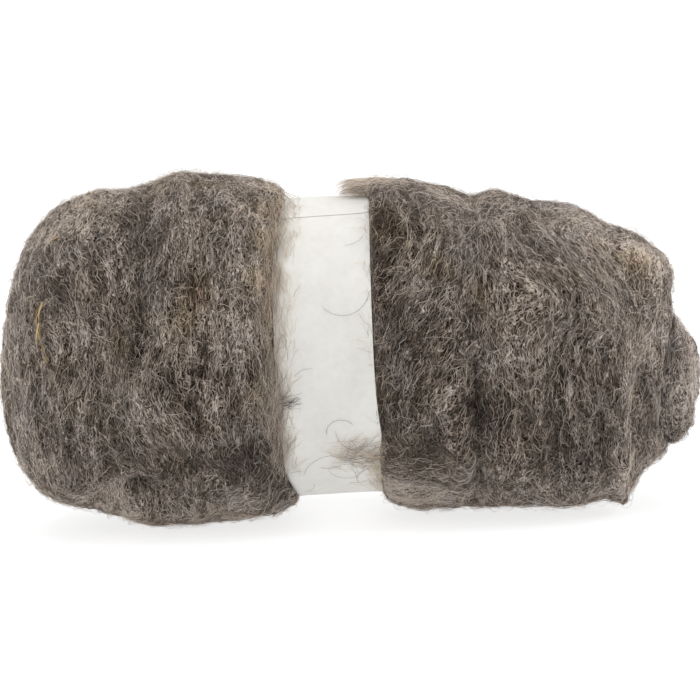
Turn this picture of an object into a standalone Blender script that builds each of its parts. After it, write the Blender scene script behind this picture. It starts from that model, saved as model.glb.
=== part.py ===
"""Roll of carded wool: two plump lobes, drawn in at the waist by a plain paper band.

X runs along the roll, the front looks to -Y, and Z is up. The origin is on the
ground under the middle of the roll. Tables are in millimetres and degrees. An
angle round the roll is 0 at the front, 90 at the top and -90 at the bottom.
"""

import math
from collections import namedtuple

import bmesh
import bpy
import numpy as np

MM = 0.001

# Driving dimensions. The paper's ends lap from LAP_START to LAP_END, and the extra
# thickness fades out over LAP_FADE behind that, as the paper's own stiffness does.
ROLL_LENGTH = 280.0
BAND_WIDTH = 38.4
BAND_LEFT = 113.0
PAPER_THICKNESS = 1.0
WAIST_BOTTOM = 12.2
WAIST_TOP = 128.4
WAIST_DEPTH = 108.0
FIT_GAP = 0.3
LAP_START = 60.0
LAP_END = 95.0
LAP_FADE = 40.0
LAP_STEP = 0.6

# Mesh steps and the roundness of a cross-section, where 2 is an ellipse.
ROUND_STEPS = 60
ROW_PITCH = 5.0
BAND_ROWS = 3
PLUMPNESS = 2.15

BAND_RIGHT = BAND_LEFT + BAND_WIDTH
WAIST_LEFT = BAND_LEFT - 0.5
WAIST_RIGHT = BAND_RIGHT + 0.5
OVER_BAND = 2 * PAPER_THICKNESS + 2 * FIT_GAP
LIP_BOTTOM = WAIST_BOTTOM - OVER_BAND
LIP_TOP = WAIST_TOP + OVER_BAND
LIP_DEPTH = WAIST_DEPTH + 2 * OVER_BAND

# The left end is a rounded cap that begins at CAP_RIM.
CAP_RIM = 36.0
CAP_BOTTOM = 9.4
CAP_TOP = 135.2
CAP_DEPTH = 120.0
CAP_TIP_HEIGHT = 58.0
CAP_ROUNDNESS = 2.15
CAP_STEPS = 17

# One row for each section. along is the distance from the left end; bottom, top
# and depth are its size; forward moves it to the front; lip is the share of the
# overhang beside the band that it takes; crown is the share of the outward lean of
# the right end; soft is the share of the folds and lumps.
Section = namedtuple("Section", "along bottom top depth forward lip crown soft")
LEFT_LOBE = (
    Section(CAP_RIM, CAP_BOTTOM, CAP_TOP, CAP_DEPTH, 0, 0, 0, 1),
    Section(45, 5.6, 136.9, 124, 0, 0, 0, 1),
    Section(54, 0.4, 138.0, 127, 0, 0, 0, 1),
    Section(64, -1.4, 139.2, 129, 0, 0, 0, 1),
    Section(78, -2.0, 141.4, 130, 0, 0, 0, 1),
    Section(92, -1.4, 141.0, 129, 0, 0, 0, 1),
    Section(100, 0.6, 139.4, 127, 0, 0, 0, 1),
    Section(106, 3.6, 137.6, 123, 0, 0.3, 0, 0.8),
    Section(110, 6.2, 135.2, 118.5, 0, 0.8, 0, 0.4),
    Section(111.8, 7.8, 132.9, 115, 0, 1, 0, 0),
    Section(WAIST_LEFT, LIP_BOTTOM, LIP_TOP, LIP_DEPTH, 0, 1, 0, 0),
    Section(WAIST_LEFT, LIP_BOTTOM, LIP_TOP, LIP_DEPTH, 0, 0, 0, 0),
)
WAIST = (
    Section(WAIST_LEFT, WAIST_BOTTOM, WAIST_TOP, WAIST_DEPTH, 0, 0, 0, 0),
    Section(WAIST_RIGHT, WAIST_BOTTOM, WAIST_TOP, WAIST_DEPTH, 0, 0, 0, 0),
)
RIGHT_LOBE = (
    Section(WAIST_RIGHT, LIP_BOTTOM, LIP_TOP, LIP_DEPTH, 0, 0, 0, 0),
    Section(WAIST_RIGHT, LIP_BOTTOM, LIP_TOP, LIP_DEPTH, 0, 1, 0, 0),
    Section(152.6, 7.6, 134.0, 115, 0, 1, 0, 0),
    Section(155.5, 5.6, 136.2, 117, 0, 0.5, 0, 0.4),
    Section(162, 4.6, 136.0, 118, 0, 0, 0, 0.8),
    Section(172, 2.2, 133.4, 120, 0, 0, 0, 1),
    Section(184, -0.8, 131.0, 121, 0, 0, 0, 1),
    Section(200, -1.6, 128.4, 120, 0, 0, 0, 1),
    Section(216, -1.8, 124.6, 117, 0, 0, 0, 1),
    Section(232, -1.8, 120.6, 112, 0, 0, 0, 1),
    Section(242, -1.0, 116.8, 106, 0, 0, 0, 1),
    Section(247, 1.4, 114.0, 102, 0, 0, 0.2, 1),
    Section(252, 6.8, 112.0, 97, 0, 0, 0.5, 1),
    Section(259, 16.6, 107.6, 88, 0, 0, 0.8, 0.8),
    Section(264, 22.4, 101.6, 77, 0, 0, 1, 0.5),
    Section(266.6, 26.5, 94.0, 66, 0, 0, 1, 0.2),
)
# The core of the roll stands out of the right end, behind a crease.
END_CORE = (
    Section(265.0, 33.5, 79.0, 50, 5, 0, 0.8, 0),
    Section(266.6, 29.6, 76.6, 51, 6, 0, 0.5, 0.3),
    Section(269.6, 25.8, 77.2, 57, 7, 0, 0.15, 0.7),
    Section(273.2, 25.6, 75.4, 56, 7, 0, 0, 0.8),
    Section(276.6, 30.2, 70.8, 46, 6, 0, 0, 0.6),
    Section(279.0, 39.0, 62.0, 27, 5, 0, 0, 0.2),
)
CORE_TIP_FORWARD = 5.0
CORE_TIP_HEIGHT = 50.4

# Wool that swells out: over the band's left and right edges, and past the right end.
Swell = namedtuple("Swell", "angle spread reach")
LEFT_LIPS = (
    Swell(80, 38, 4.6),
    Swell(-72, 26, 5.2),
    Swell(190, 50, 3.0),
)
RIGHT_LIPS = (
    Swell(92, 13, 8.5),
    Swell(215, 40, 2.4),
)
CROWNS = (
    Swell(78, 34, 3.6),
    Swell(172, 42, 7.5),
)

# Folds of the wool. Each runs straight over the unrolled surface; height is below
# zero for a crease.
Fold = namedtuple("Fold", "along angle to_along to_angle width height")
FOLDS = (
    Fold(62, 50, 61, 18, 9, -2.6),
    Fold(78, 44, 76, 8, 9, 2.2),
    Fold(38, -60, 60, -44, 7, -5.0),
    Fold(46, -66, 74, -62, 8, 2.6),
    Fold(108, -30, 103, -60, 5, 3.4),
    Fold(21, -4, 25, -26, 9, -3.0),
    Fold(47, 100, 53, 58, 6, -2.2),
    Fold(58, -18, 84, -36, 8, -2.6),
    Fold(28, 52, 40, 20, 10, 1.8),
    Fold(190.5, 4, 190.5, -60, 4.5, -5.0),
    Fold(154, -55, 187, -64, 4, -3.4),
    Fold(249, -32, 252, -78, 5, 4.2),
    Fold(257, -4, 258, -50, 5, -4.0),
    Fold(212, 66, 238, 26, 6, 2.4),
    Fold(236, 4, 240, -26, 6, -3.2),
    Fold(226, 22, 223, -38, 6, -2.2),
    Fold(206, 16, 204, -40, 8, 1.8),
    Fold(170, 62, 158, 10, 8, -2.0),
    Fold(18, 196, 108, 208, 6, 3.6),
    Fold(18, 184, 108, 196, 6, -3.4),
    Fold(158, 206, 258, 190, 6, 3.6),
    Fold(158, 194, 258, 178, 6, -3.4),
    Fold(44, 150, 72, 126, 9, -3.0),
    Fold(84, 172, 90, 128, 8, 2.4),
    Fold(70, 232, 96, 254, 8, -3.0),
    Fold(186, 160, 182, 120, 6, -4.0),
    Fold(214, 154, 236, 118, 8, 2.4),
    Fold(204, 228, 240, 240, 8, -3.0),
)
MEAN_RADIUS = 66.0

# Low waves over the lobes: waves along the roll, waves round it, turn and height.
Wave = namedtuple("Wave", "along round turn height")
WAVES = (
    Wave(5.0, 3, 0.4, 0.9),
    Wave(9.0, 2, 2.1, 0.7),
    Wave(3.0, 5, 4.0, 0.8),
)

# The layers at each end coil round its tip like a scroll. start and stop are the
# stretch along the roll, outward is the way that the end faces along X.
Coil = namedtuple("Coil", "start stop height forward outward pitch depth outer")
COILS = (
    Coil(-10, 34, CAP_TIP_HEIGHT, 0, -1, 20, 3.6, 60),
    Coil(250, 266.7, CORE_TIP_HEIGHT, CORE_TIP_FORWARD, 1, 15, 3.0, 62),
    Coil(268, 290, CORE_TIP_HEIGHT, CORE_TIP_FORWARD, 1, 11, 2.6, 27),
)
COIL_FADE = 10.0

# The core's outer layer grows like a snail shell for most of a turn, then falls back.
SHELL_START = -130.0
SHELL_GROWTH = 0.16
SHELL_TURN = 0.88


def smooth_rows(sections, pitch):
    """Rows of section values on a curve through the sections, with no overshoot.

    The curve is a cubic in each column, whose slope at a section is the harmonic
    mean of the slopes of the two stretches beside it, or zero where they differ in
    sign.
    """
    values = np.array(sections, float)
    steps = np.diff(values, axis=0)
    reach = np.hypot(steps[:, 0], steps[:, 1:4].max(axis=1) / 2)
    place = np.concatenate([[0.0], np.cumsum(np.maximum(reach, 0.1))])
    width = np.diff(place)[:, None]
    slope = steps / width
    before, after = slope[:-1], slope[1:]
    same = before * after > 0
    total = np.where(same, before + after, 1.0)
    middle = np.where(same, 2 * before * after / total, 0.0)
    ends = np.vstack([slope[:1], middle, slope[-1:]])
    rows = [values[:1]]
    for index, length in enumerate(width[:, 0]):
        count = max(1, round(length / pitch))
        t = (np.arange(count)[:, None] + 1) / count
        rows.append(
            values[index] * (2 * t**3 - 3 * t**2 + 1)
            + values[index + 1] * (3 * t**2 - 2 * t**3)
            + ends[index] * length * (t**3 - 2 * t**2 + t)
            + ends[index + 1] * length * (t**3 - t**2)
        )
    return np.vstack(rows)


def left_cap():
    """Sections of the rounded left end, from just past its tip to CAP_RIM."""
    turns = np.linspace(0, math.pi / 2, CAP_STEPS + 1)[1:-1]
    grow = np.sin(turns) ** (2 / CAP_ROUNDNESS)
    along = CAP_RIM * (1 - np.cos(turns) ** (2 / CAP_ROUNDNESS))
    bottom = CAP_TIP_HEIGHT + (CAP_BOTTOM - CAP_TIP_HEIGHT) * grow
    top = CAP_TIP_HEIGHT + (CAP_TOP - CAP_TIP_HEIGHT) * grow
    soft = np.clip((grow - 0.3) / 0.5, 0, 1)
    none = np.zeros((len(grow), 3))
    return np.column_stack([along, bottom, top, CAP_DEPTH * grow, none, soft])


def turn_between(angles, other):
    """Signed turn in degrees from other to each angle, between -180 and 180."""
    return (angles - other + 180) % 360 - 180


def fold_height(along, angles):
    """Height of all folds and waves over the plain surface at each point."""
    height = np.zeros(np.broadcast(along, angles).shape)
    for fold in FOLDS:
        middle = (fold.angle + fold.to_angle) / 2
        arc = np.radians(turn_between(angles, middle)) * MEAN_RADIUS
        half = np.radians((fold.to_angle - fold.angle) / 2) * MEAN_RADIUS
        span = np.array([fold.to_along - fold.along, 2 * half])
        share = ((along - fold.along) * span[0] + (arc + half) * span[1]) / (span @ span)
        share = np.clip(share, 0, 1)
        away = np.hypot(along - fold.along - share * span[0], arc + half - share * span[1])
        height += fold.height * np.exp(-((away / fold.width) ** 2))
    for wave in WAVES:
        phase = 2 * math.pi * wave.along * along / ROLL_LENGTH
        height += wave.height * np.sin(phase + wave.round * np.radians(angles) + wave.turn)
    return height


def summed_reach(swells, angles):
    """Sum at each angle of swells that fade out to both sides of their own angle."""
    reach = np.zeros_like(angles)
    for swell in swells:
        turn = turn_between(angles, swell.angle)
        reach += swell.reach * np.exp(-((turn / swell.spread) ** 2))
    return reach


def coil_relief(along, y, z):
    """Shift along X of scroll-shaped grooves round each tip, none past outer."""
    shift = np.zeros_like(y)
    for coil in COILS:
        across, up = y + coil.forward, z - coil.height
        radius = np.hypot(across, up)
        phase = radius / coil.pitch - coil.outward * np.arctan2(up, -across) / (2 * math.pi)
        groove = 0.5 - 0.5 * np.cos(2 * math.pi * phase)
        fade = np.clip(radius / COIL_FADE, 0, 1) * np.clip((coil.outer - radius) / COIL_FADE, 0, 1)
        inside = (along > coil.start) & (along < coil.stop)
        shift -= inside * coil.outward * coil.depth * groove * fade
    return shift


def round_points(angles, bottom, top, depth):
    """Y and Z of a plump rounded section."""
    turns = np.radians(angles)
    across, up = np.cos(turns), np.sin(turns)
    power = 2 / PLUMPNESS
    y = -np.sign(across) * np.abs(across) ** power * depth / 2
    z = (bottom + top) / 2 + np.sign(up) * np.abs(up) ** power * (top - bottom) / 2
    return y, z


def wool_rows():
    """Rings of points of the whole roll, from the left tip to the right tip."""
    left = smooth_rows(LEFT_LOBE, ROW_PITCH)
    waist = smooth_rows(WAIST, BAND_WIDTH / BAND_ROWS)
    right = smooth_rows(RIGHT_LOBE, ROW_PITCH)
    core = smooth_rows(END_CORE, ROW_PITCH / 2)
    rows = np.vstack([left_cap(), left, waist, right, core])
    along, bottom, top, depth, forward, lip, crown, soft = rows.T[:, :, None]
    angles = np.arange(ROUND_STEPS)[None, :] * 360 / ROUND_STEPS
    y, z = round_points(angles, bottom, top, depth)
    on_core = np.arange(len(rows))[:, None] >= len(rows) - len(core)
    turned = ((angles - SHELL_START) % 360) / 360
    grown = np.minimum(turned / SHELL_TURN, (1 - turned) / (1 - SHELL_TURN))
    shell = SHELL_GROWTH * (grown - 0.5) * on_core
    middle_height = (bottom + top) / 2
    y = y * (1 + shell) - forward
    z = middle_height + (z - middle_height) * (1 + shell)

    left_side = along < (WAIST_LEFT + WAIST_RIGHT) / 2
    over_band = np.where(
        left_side, summed_reach(LEFT_LIPS, angles), -summed_reach(RIGHT_LIPS, angles)
    )
    x = along + over_band * lip + summed_reach(CROWNS, angles) * crown

    height = fold_height(along, angles) * soft
    y = y - height * np.cos(np.radians(angles))
    z = z + height * np.sin(np.radians(angles))

    x = x + coil_relief(along, y, z)
    return np.stack([x, y, np.maximum(z, 0)], axis=-1)


def band_loops():
    """Closed loops round the paper's own edge-on outline, one for each angle."""
    step = 360 / ROUND_STEPS
    angles = [index * step for index in range(ROUND_STEPS)]
    columns = [(angle, lap_height(angle)) for angle in angles]
    columns.insert(angles.index(LAP_START), (LAP_START - LAP_STEP, 0.0))
    stations = np.linspace(BAND_LEFT, BAND_RIGHT, BAND_ROWS + 1)
    loops = []
    for angle, lap in columns:
        inner = round_points(
            angle, WAIST_BOTTOM - FIT_GAP, WAIST_TOP + FIT_GAP, WAIST_DEPTH + 2 * FIT_GAP
        )
        out = FIT_GAP + PAPER_THICKNESS + lap
        outer = round_points(
            angle, WAIST_BOTTOM - out, WAIST_TOP + out, WAIST_DEPTH + 2 * out
        )
        loop = [(along, *outer) for along in stations]
        loop += [(along, *inner) for along in stations[::-1]]
        loops.append(loop)
    return np.array(loops)


def lap_height(angle):
    """Extra height of the paper where its ends lap: full to LAP_END, then fading."""
    if angle < LAP_START:
        return 0.0
    return PAPER_THICKNESS * min(1.0, max(0.0, 1 - (angle - LAP_END) / LAP_FADE))


def centred(points):
    """Points in metres with the origin under the middle of the roll."""
    return (points - np.array([ROLL_LENGTH / 2, 0, 0])) * MM


def add_rings(mesh, rings, close_ends):
    """Bridges each ring of points to the next, all facing outwards.

    With close_ends a tip closes each end; without, the last ring joins the first.
    """
    loops = [[mesh.verts.new(point) for point in ring] for ring in rings]
    pairs = list(zip(loops[:-1], loops[1:]))
    if not close_ends:
        pairs.append((loops[-1], loops[0]))
    for one, other in pairs:
        for index in range(len(one)):
            after = (index + 1) % len(one)
            mesh.faces.new((one[index], other[index], other[after], one[after]))
    return loops


def add_tip(mesh, point, loop, at_start):
    """Closes the ring with a fan of faces round one point."""
    tip = mesh.verts.new(point)
    for index in range(len(loop)):
        edge = (loop[index], loop[(index + 1) % len(loop)])
        mesh.faces.new((tip, *(edge if at_start else edge[::-1])))


def finish_object(name, mesh, material, sharp_angle):
    """Makes the mesh an object, shaded smooth except over its sharp edges."""
    bmesh.ops.recalc_face_normals(mesh, faces=mesh.faces)
    data = bpy.data.meshes.new(name)
    mesh.to_mesh(data)
    mesh.free()
    data.shade_smooth()
    data.set_sharp_from_angle(angle=math.radians(sharp_angle))
    data.materials.append(material)
    piece = bpy.data.objects.new(name, data)
    bpy.context.scene.collection.objects.link(piece)
    return piece


def make_material(name, color, roughness):
    """A Principled material of one colour."""
    material = bpy.data.materials.new(name)
    material.use_nodes = True
    shader = material.node_tree.nodes["Principled BSDF"]
    shader.inputs["Base Color"].default_value = (*color, 1)
    shader.inputs["Roughness"].default_value = roughness
    shader.inputs["Metallic"].default_value = 0
    return material


def make_wool_roll():
    """The roll of carded wool, one closed body."""
    mesh = bmesh.new()
    loops = add_rings(mesh, centred(wool_rows()), close_ends=True)
    add_tip(mesh, centred(np.array([0, 0, CAP_TIP_HEIGHT])), loops[0], at_start=True)
    right_tip = np.array([ROLL_LENGTH, -CORE_TIP_FORWARD, CORE_TIP_HEIGHT])
    add_tip(mesh, centred(right_tip), loops[-1], at_start=False)
    finish_object("wool_roll", mesh, make_material("grey_wool", (0.14, 0.12, 0.10), 0.95), 60)


def make_paper_band():
    """The plain paper band round the waist, with its lapped ends."""
    mesh = bmesh.new()
    add_rings(mesh, centred(band_loops()), close_ends=False)
    finish_object("paper_band", mesh, make_material("white_paper", (0.82, 0.81, 0.77), 0.7), 30)


def main():
    for old in list(bpy.data.objects):
        bpy.data.objects.remove(old, do_unlink=True)
    make_wool_roll()
    make_paper_band()


main()
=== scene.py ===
"""A roll of carded wool, drawn in at its waist by a plain paper band.

X runs along the roll, the front looks to -Y and Z is up. Tables are in millimetres
and degrees: along is the distance from the roll's left end, and an angle round the
roll is 0 at the front, 90 at the top and -90 at the bottom.
"""

import logging
import math
from dataclasses import dataclass, field, fields, replace
from enum import Enum
from typing import Any, NamedTuple

import bpy
import numpy as np
from mathutils import Matrix, Vector


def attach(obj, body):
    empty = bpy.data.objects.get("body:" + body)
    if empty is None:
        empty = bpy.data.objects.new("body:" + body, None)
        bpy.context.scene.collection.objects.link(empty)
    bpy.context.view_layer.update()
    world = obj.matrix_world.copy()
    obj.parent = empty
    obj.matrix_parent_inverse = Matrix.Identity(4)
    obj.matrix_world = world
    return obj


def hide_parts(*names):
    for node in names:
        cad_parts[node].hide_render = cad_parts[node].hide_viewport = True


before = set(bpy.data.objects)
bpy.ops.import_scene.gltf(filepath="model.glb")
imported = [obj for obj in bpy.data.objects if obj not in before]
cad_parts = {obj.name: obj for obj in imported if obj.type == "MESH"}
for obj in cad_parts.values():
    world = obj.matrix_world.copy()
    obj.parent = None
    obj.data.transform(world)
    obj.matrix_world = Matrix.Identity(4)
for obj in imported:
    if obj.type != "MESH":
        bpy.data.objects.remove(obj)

LOG = logging.getLogger("wool_roving")
Array = np.ndarray
MM = 0.001
FULL_TURN = 2 * math.pi
LATTICE_SIDE = 48
UV_MAP = "OFBake"


# ---------------------------------------------------------------- tables of the roll


class Section(NamedTuple):
    """One section of the roll, and its share of the lips, crowns and folds."""

    along: float
    bottom: float
    top: float
    depth: float
    forward: float = 0
    lip: float = 0
    crown: float = 0
    soft: float = 0


class Swell(NamedTuple):
    """Wool that leans out along the roll, fading to both sides of its angle."""

    angle: float
    spread: float
    reach: float


class Fold(NamedTuple):
    """A straight fold on the unrolled surface, a crease where height is below zero."""

    along: float
    angle: float
    to_along: float
    to_angle: float
    width: float
    height: float


class Wave(NamedTuple):
    """A low wave over the lobes: its waves along and round the roll, turn and height."""

    along: float
    round: int
    turn: float
    height: float


class Coil(NamedTuple):
    """Scroll-shaped grooves round a tip, on the stretch from start to stop."""

    start: float
    stop: float
    up: float
    forward: float
    outward: int
    pitch: float
    depth: float
    outer: float


class Grain(NamedTuple):
    """A layer of smooth noise: its height, cells along and round the roll, shift and seed."""

    height: float
    along: float
    round: float
    shift: float
    seed: int


class Lay(NamedTuple):
    """A place where the fibres are combed another way, as a turn from upright."""

    along: float
    angle: float
    reach_along: float
    reach_round: float
    turn: float


class Patch(NamedTuple):
    """A place of another colour, or of painted light or shade: its size, and how far it moves tint
    and tone.
    """

    along: float
    angle: float
    size: float
    tint: float
    tone: float


class Hair(NamedTuple):
    """One stray hair on the paper: its start, way, length and bend for each millimetre."""

    along: float
    angle: float
    way: float
    length: float
    bend: float


class Straw(NamedTuple):
    """A bit of straw in the wool: its start, way, length, width and tint."""

    along: float
    angle: float
    way: float
    length: float
    width: float
    tint: float


class Fringe(NamedTuple):
    """Fibres over the paper: where they stand, how they rise and lie, and their shade."""

    low: float
    high: float
    angle: float
    spread: float
    rise: float
    turn: float
    stray: float
    length: float
    lift: float
    count: int
    tone: float
    tint: float


ROLL_LENGTH = 280.0
MIDDLE = (ROLL_LENGTH / 2, 0, 0)
WAIST_LEFT, WAIST_RIGHT = 112.5, 151.9
WAIST_BOTTOM, WAIST_TOP, WAIST_DEPTH = 12.2, 128.4, 108.0
PLUMPNESS = 2.15
MEAN_RADIUS = 66.0
OVER_BAND = 2.6
LIP_BOTTOM, LIP_TOP = WAIST_BOTTOM - OVER_BAND, WAIST_TOP + OVER_BAND
LIP_DEPTH = WAIST_DEPTH + 2 * OVER_BAND
RIGHT_LIP_DEPTH = WAIST_DEPTH + 0.6

LEFT_LOBE = (
    Section(36, 9.4, 134.0, 120, soft=1),
    Section(45, 8.2, 136.4, 124, soft=1),
    Section(54, 3.6, 138.0, 127, soft=1),
    Section(64, 1.2, 139.2, 129, soft=1),
    Section(78, 0.4, 141.4, 130, soft=1),
    Section(92, 1.2, 141.0, 129, soft=1),
    Section(100, 3.2, 139.2, 127, soft=1),
    Section(106, 3.8, 137.2, 123, lip=0.3, soft=0.8),
    Section(110, 6.2, 135.0, 118.5, lip=0.8, soft=0.4),
    Section(111.8, 7.8, 132.9, 115, lip=1),
    Section(WAIST_LEFT, LIP_BOTTOM, LIP_TOP, LIP_DEPTH, lip=1),
    Section(WAIST_LEFT, LIP_BOTTOM, LIP_TOP, LIP_DEPTH),
)
WAIST = (
    Section(WAIST_LEFT, WAIST_BOTTOM, WAIST_TOP, WAIST_DEPTH),
    Section(WAIST_RIGHT, WAIST_BOTTOM, WAIST_TOP, WAIST_DEPTH),
)
# This lobe starts shallow, so that the paper's edge stands over its front.
RIGHT_LOBE = (
    Section(WAIST_RIGHT, LIP_BOTTOM, LIP_TOP, RIGHT_LIP_DEPTH),
    Section(WAIST_RIGHT, LIP_BOTTOM, LIP_TOP, RIGHT_LIP_DEPTH, lip=1),
    Section(152.6, 8.0, 134.6, 108.8, lip=1),
    Section(155.5, 5.6, 136.9, 110.0, lip=0.5, soft=0.3),
    Section(162, 4.6, 136.6, 114.4, soft=0.7),
    Section(172, 3.8, 133.6, 119, soft=1),
    Section(184, 2.0, 130.6, 121, soft=1),
    Section(200, 2.2, 128.2, 120, soft=1),
    Section(216, 2.2, 124.6, 117, soft=1),
    Section(232, 2.6, 120.6, 112, soft=1),
    Section(242, 3.4, 116.0, 106, soft=1),
    Section(247, 6.0, 112.8, 102, crown=0.2, soft=1),
    Section(252, 10.4, 110.8, 97, crown=0.5, soft=1),
    Section(259, 15.8, 107.0, 88, crown=0.8, soft=0.8),
    Section(264, 20.8, 100.6, 77, crown=1, soft=0.5),
    Section(266.6, 25.0, 93.0, 64, crown=1, soft=0.2),
)
END_CORE = (
    Section(265.4, 27.0, 80.0, 54, forward=5, crown=0.8),
    Section(267.0, 25.0, 79.0, 57, forward=6, crown=0.5, soft=0.3),
    Section(269.8, 25.8, 76.6, 59, forward=7, crown=0.2, soft=0.7),
    Section(273.2, 28.2, 73.4, 57, forward=7, crown=0.1, soft=0.8),
    Section(276.6, 34.6, 69.4, 45, forward=6, crown=0.1, soft=0.6),
    Section(279.0, 46.4, 65.6, 27, forward=6, soft=0.3),
    Section(279.7, 51.4, 61.0, 13, forward=6, soft=0.3),
    Section(279.9, 55.2, 57.2, 3, forward=6, soft=0.3),
)
COILS = (
    Coil(-10, 34, 58.0, 0, -1, 15, 2.2, 42),
    Coil(250, 266.7, 50.4, 5, 1, 15, 3.0, 62),
    Coil(268, 290, 53.0, 6, 1, 11, 2.6, 27),
)

LEFT_LIPS = (Swell(80, 38, 4.6), Swell(-72, 26, 5.2), Swell(190, 50, 3.0))
RIGHT_LIPS = (Swell(92, 12, 3.6), Swell(215, 40, 2.4))
CROWNS = (Swell(56, 34, 5.4), Swell(-24, 40, -3.2), Swell(172, 42, 7.5))

MAIN_FOLDS = (
    Fold(62, 50, 61, 18, 9, -2.6),
    Fold(78, 44, 76, 8, 9, 2.2),
    Fold(38, -60, 60, -44, 7, -5.0),
    Fold(46, -66, 74, -62, 8, 2.6),
    Fold(108, -30, 103, -60, 5, 3.4),
    Fold(21, -4, 25, -26, 9, -3.0),
    Fold(47, 100, 53, 58, 6, -1.2),
    Fold(58, -18, 84, -36, 8, -2.6),
    Fold(28, 52, 40, 20, 10, 1.8),
    Fold(190.5, 4, 190.5, -60, 4.5, -5.0),
    Fold(154, -55, 187, -64, 4, -3.4),
    Fold(246, -32, 248, -78, 5, 4.2),
    Fold(257, -4, 258, -50, 5, -4.0),
    Fold(212, 66, 238, 26, 6, 2.4),
    Fold(236, 4, 240, -26, 6, -3.2),
    Fold(226, 22, 223, -38, 6, -2.2),
    Fold(206, 16, 204, -40, 8, 1.8),
    Fold(170, 62, 158, 10, 8, -2.0),
    Fold(18, 196, 108, 208, 6, 3.6),
    Fold(18, 184, 108, 196, 6, -3.4),
    Fold(158, 206, 258, 190, 6, 3.6),
    Fold(158, 194, 258, 178, 6, -3.4),
    Fold(44, 150, 72, 126, 9, -3.0),
    Fold(84, 172, 90, 128, 8, 2.4),
    Fold(70, 232, 96, 254, 8, -3.0),
    Fold(186, 160, 182, 120, 6, -4.0),
    Fold(214, 154, 236, 118, 8, 2.4),
    Fold(204, 228, 240, 240, 8, -3.0),
    Fold(192, 108, 193, 66, 7, -4.0),
)
# Narrow creases and ridges that only the finer surface can hold.
# The wool's tone also takes painted shade in their creases and painted light on their ridges.
FINE_FOLDS = (
    Fold(190.5, 2, 190.8, -58, 1.8, -2.6),
    Fold(153, -57, 186, -64.5, 1.6, -1.8),
    Fold(112, -28, 110, -58, 2.4, -3.0),
    Fold(40, -58, 58, -46, 2.2, -1.6),
    Fold(246, -34, 248, -72, 2.0, 1.8),
    Fold(259, 0, 261, -46, 2.4, -2.0),
    Fold(237, 2, 240, -22, 2.0, -1.6),
    Fold(212, 64, 236, 28, 2.2, 1.2),
    Fold(223, 20, 221, -34, 1.8, -1.2),
    Fold(61, 46, 60, 20, 2.4, -1.4),
    Fold(83, 30, 80, -14, 2.4, -1.0),
    Fold(70, 4, 98, -34, 2.2, -1.2),
    Fold(30, 4, 34, -40, 2.6, -1.2),
    Fold(172, 50, 160, 0, 2.2, -1.2),
    Fold(180, 40, 166, -20, 2.0, -1.0),
    Fold(34, 160, 60, 140, 2.6, -1.6),
    Fold(88, 150, 92, 120, 2.4, -1.4),
    Fold(186, 158, 184, 124, 2.0, -2.0),
    Fold(226, 150, 240, 126, 2.4, 1.4),
    Fold(60, 250, 92, 236, 2.6, -1.6),
    Fold(206, 232, 236, 244, 2.6, -1.6),
)
WAVES = (Wave(5.0, 3, 0.4, 0.9), Wave(9.0, 2, 2.1, 0.7), Wave(3.0, 5, 4.0, 0.8))

CLUMPS = (Grain(0.8, 10.0, 15.0, 0.0, 7), Grain(0.3, 3.6, 7.0, 11.3, 8))
SWIRLS = (Grain(16.0, 24.0, 24.0, 3.1, 12),)
TONE_GRAINS = (Grain(0.11, 7.0, 10.0, 5.5, 21), Grain(0.08, 2.6, 12.0, 8.5, 22))
TINT_GRAINS = (Grain(0.09, 13.0, 13.0, 2.5, 23), Grain(0.06, 5.0, 5.0, 6.5, 24))

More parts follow.
